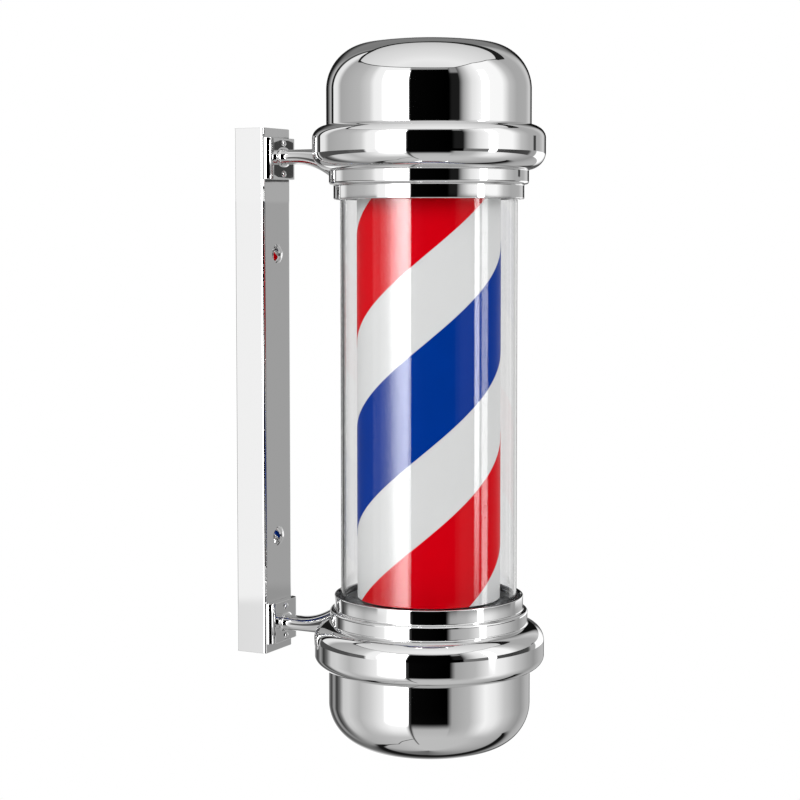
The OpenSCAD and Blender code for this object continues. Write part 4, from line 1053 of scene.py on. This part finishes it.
def seen_directly(tree):
    """1 for what the camera sees, also through the clear cylinder."""
    rays = add(tree, "ShaderNodeLightPath").outputs
    return maths("MAXIMUM", rays["Is Camera Ray"], rays["Is Transmission Ray"])


class BARBERPOLE_OT_studio(bpy.types.Operator):
    """Set up the floor, the reflection tent, the lamps, the world and the camera"""

    bl_idname = "barberpole.studio"
    bl_label = "Studio"

    def execute(self, context):
        context.scene.view_settings.view_transform = "Standard"
        self.camera(context)
        self.floor()
        self.tent(context.scene.pole_studio)
        self.world(context)
        self.lamps(context.scene.pole_studio)
        return {"FINISHED"}

    def camera(self, context):
        """The photograph's viewpoint."""
        bpy.ops.object.camera_add(
            location=(-1.758, -1.059, 0.1727),
            rotation=(math.radians(86.315), math.radians(0.117), math.radians(-62.16)),
        )
        camera = context.object
        camera.data.lens = 88.75
        camera.data.sensor_width = 36
        camera.data.shift_x = 0.0496
        camera.data.shift_y = -0.0564
        camera.data.clip_end = 60
        context.scene.camera = camera

    def floor(self):
        """Pale floor that keeps the shadow under the pole and is white further out."""
        place_low = (POLE.x, POLE.y, FLOOR_Z)
        bpy.ops.mesh.primitive_circle_add(vertices=96, radius=FLOOR_R, fill_type="NGON", location=place_low)
        floor = close(begin("studio_floor"))
        material, shader, place = new_material("studio_floor_paper")
        tree = material.node_tree
        set_sockets(shader, {"Base Color": linear("#F2F2F1"), "Roughness": 0.9})
        shift = add(tree, "ShaderNodeMapping", {"Location": [-c for c in place_low]}, {"Vector": place})
        away = add(tree, "ShaderNodeVectorMath", links={0: shift.outputs["Vector"]}, operation="LENGTH")
        white = times(seen_directly(tree), between((FLOOR_SHADOW, FLOOR_WHITE), away.outputs["Value"]))
        glow = add(tree, "ShaderNodeEmission", {"Color": (1, 1, 1, 1), "Strength": 1})
        show_mixed(white, shader, glow)
        floor.data.materials.append(material)
        floor.visible_glossy = False

    def tent(self, studio):
        """Round tent of light and dark cards, laid out by direction, which only gloss sees."""
        bpy.ops.mesh.primitive_uv_sphere_add(
            segments=studio.steps, ring_count=studio.steps // 2, radius=TENT_R, location=POLE
        )
        tent = close(begin("studio_tent"))
        material, _, place = new_material("studio_tent_cards")
        tree = material.node_tree
        moved = add(tree, "ShaderNodeMapping", {"Location": -POLE}, {"Vector": place}).outputs["Vector"]
        # Turned so that the gradient runs from behind the pole, by image left, round to image right
        turn = {"Rotation": (0, 0, -CAMERA_AZIMUTH)}
        facing = {"Vector": add(tree, "ShaderNodeMapping", turn, {"Vector": moved}).outputs["Vector"]}
        around = add(tree, "ShaderNodeTexGradient", links=facing, gradient_type="RADIAL").outputs["Fac"]
        x, y, z = add(tree, "ShaderNodeSeparateXYZ", links=facing).outputs
        far = maths("SQRT", maths("ADD", times(x, x), times(y, y)))
        steep = maths("DIVIDE", minus(maths("ABSOLUTE", z), END_Z), times(far, 2.0))
        upper = self.upper_half(around, steep, x, z)
        lower = self.lower_half(around, steep)
        total = blend(between(HALVES_MEET, z), lower, upper)
        level = times(between(MIDDLE_START, z), minus(1.0, between(MIDDLE_END, z)))
        total = times(blend(level, total, ramp(around, MIDDLE_CARDS, True)), CHROME_SHARE)
        # Two light panels, brighter than white
        hot = times(ramp(around, PANEL), between(PANEL_GROWS, z), studio.panel)
        side = times(ramp(around, SIDE_PANEL), between(SIDE_PANEL_GROWS, z), studio.side_panel)
        panels = times(maths("ADD", hot, side), maths("LESS_THAN", maths("ABSOLUTE", steep), PANEL_STEEP))
        strength = {"Strength": maths("ADD", total, panels)}
        glow = add(tree, "ShaderNodeEmission", {"Color": (1, 1, 1, 1)}, strength)
        feed(tree.nodes["Material Output"], "Surface", glow.outputs["Emission"])
        tent.data.materials.append(material)
        for sight in ("camera", "transmission", "diffuse", "shadow"):
            setattr(tent, "visible_" + sight, False)

    def upper_half(self, around, steep, x, z):
        """Cards up to the walls' edge, a dark strip under it, then the ceiling."""
        cards = ramp(around, UPPER_CARDS, True)
        for start, end, low, high, level in CARD_TOPS:
            top = times(bar(around, start, end), between((low, high), steep))
            cards = blend(top, cards, grey(level)[0])
        cards = blend(times(ramp(around, UPPER_REAR), between(REAR_TOP, steep)), cards, grey(REAR_GREY)[0])
        near = maths("LESS_THAN", maths("ABSOLUTE", minus(z, FOOT_CARD_Z)), FOOT_CARD_HALF)
        cards = blend(times(bar(around, *FOOT_CARD), near), cards, grey(FOOT_GREY)[0])
        edge = ramp(around, UPPER_EDGE)
        under = minus(edge, ramp(around, UPPER_STRIP))
        walls = blend(between((-STRIP_SOFT, 0.0), minus(steep, under)), cards, grey(STRIP_GREY)[0])
        ceiling = ramp(maths("ADD", maths("DIVIDE", x, 2 * TENT_R), 0.5), CEILING, True)
        return blend(between((0.0, CEILING_SOFT), minus(steep, edge)), walls, ceiling)

    def lower_half(self, around, steep):
        """Cards that fade into the table, a dark seam at its rear edge and a thin wire in front."""
        cards = ramp(around, LOWER_CARDS, True)
        cards = blend(times(bar(around, *DARK_CARD), between(DARK_FADE, steep)), cards, grey(DARK_GREY)[0])
        cards = blend(between(TABLE_FADE, steep), cards, ramp(around, TABLE, True))
        width = ramp(around, LOWER_STRIP)
        off = maths("ABSOLUTE", minus(steep, ramp(around, LOWER_EDGE)))
        # The lower limit on the width keeps the division sound where there is no seam
        seam = minus(1.0, between(SEAM_FADE, maths("DIVIDE", off, maths("MAXIMUM", width, 0.001))))
        seam = times(seam, maths("GREATER_THAN", width, THINNEST_SEAM))
        lower = blend(seam, cards, grey(SEAM_GREY)[0])
        wire = times(bar(around, *WIRE), maths("LESS_THAN", steep, WIRE_STEEP))
        return blend(wire, lower, grey(WIRE_GREY)[0])

    def world(self, context):
        """White for the eye and through glass, and an even light on the object."""
        world = bpy.data.worlds.new("studio_world")
        context.scene.world = world
        world.use_nodes = True
        back = world.node_tree.nodes["Background"]
        set_sockets(back, {"Color": (1, 1, 1, 1)})
        values = {"To Min": context.scene.pole_studio.ambient, "To Max": 1}
        seen = {"Value": seen_directly(world.node_tree)}
        feed(back, "Strength", add(world.node_tree, "ShaderNodeMapRange", values, seen).outputs["Result"])

    def lamps(self, studio):
        """Two large soft lamps that the gloss doesn't show."""
        lamps = ("key_lamp", -45, 0.9, studio.key), ("fill_lamp", 70, 0.5, studio.fill)
        for name, turn, height, power in lamps:
            azimuth = CAMERA_AZIMUTH + math.radians(turn)
            place = POLE + Vector((LAMP_AWAY * math.cos(azimuth), LAMP_AWAY * math.sin(azimuth), height))
            bpy.ops.object.light_add(type="AREA", location=place)
            lamp = bpy.context.object
            lamp.name = name
            lamp.rotation_euler = (place - POLE).to_track_quat("Z", "Y").to_euler()
            lamp.data.size = LAMP_SIZE
            lamp.data.energy = power
            for sight in ("camera", "transmission", "glossy"):
                setattr(lamp, "visible_" + sight, False)


GROUPS = (
    ("pole_ends", EndSizes),
    ("pole_drum", DrumSizes),
    ("pole_mount", MountSizes),
    ("pole_colours", FinishColours),
    ("pole_studio", StudioSettings),
)
OPERATORS = (
    BARBERPOLE_OT_studio,
    BARBERPOLE_OT_end_rings,
    BARBERPOLE_OT_domes,
    BARBERPOLE_OT_clear_cylinder,
    BARBERPOLE_OT_drum,
    BARBERPOLE_OT_arms,
    BARBERPOLE_OT_wall_channel,
    BARBERPOLE_OT_screws,
    BARBERPOLE_OT_finishes,
)


class BARBERPOLE_PT_panel(bpy.types.Panel):
    """Sizes, colours and steps of the barber pole"""

    bl_label = "Barber Pole"
    bl_idname = "BARBERPOLE_PT_panel"
    bl_space_type = "VIEW_3D"
    bl_region_type = "UI"
    bl_category = "Barber Pole"

    def draw(self, context):
        for operator in OPERATORS:
            self.layout.operator(operator.bl_idname)
        for name, group in GROUPS:
            box_layout = self.layout.box()
            settings = getattr(context.scene, name)
            for key in group.__annotations__:
                box_layout.prop(settings, key)


def register():
    for name, group in GROUPS:
        bpy.utils.register_class(group)
        setattr(bpy.types.Scene, name, PointerProperty(type=group))
    for operator in OPERATORS:
        bpy.utils.register_class(operator)
    bpy.utils.register_class(BARBERPOLE_PT_panel)


def unregister():
    bpy.utils.unregister_class(BARBERPOLE_PT_panel)
    for operator in reversed(OPERATORS):
        bpy.utils.unregister_class(operator)
    for name, group in reversed(GROUPS):
        delattr(bpy.types.Scene, name)
        bpy.utils.unregister_class(group)


def main():
    register()
    for operator in OPERATORS:
        part, step = operator.bl_idname.split(".")
        getattr(getattr(bpy.ops, part), step)()


if __name__ == "__main__":
    main()
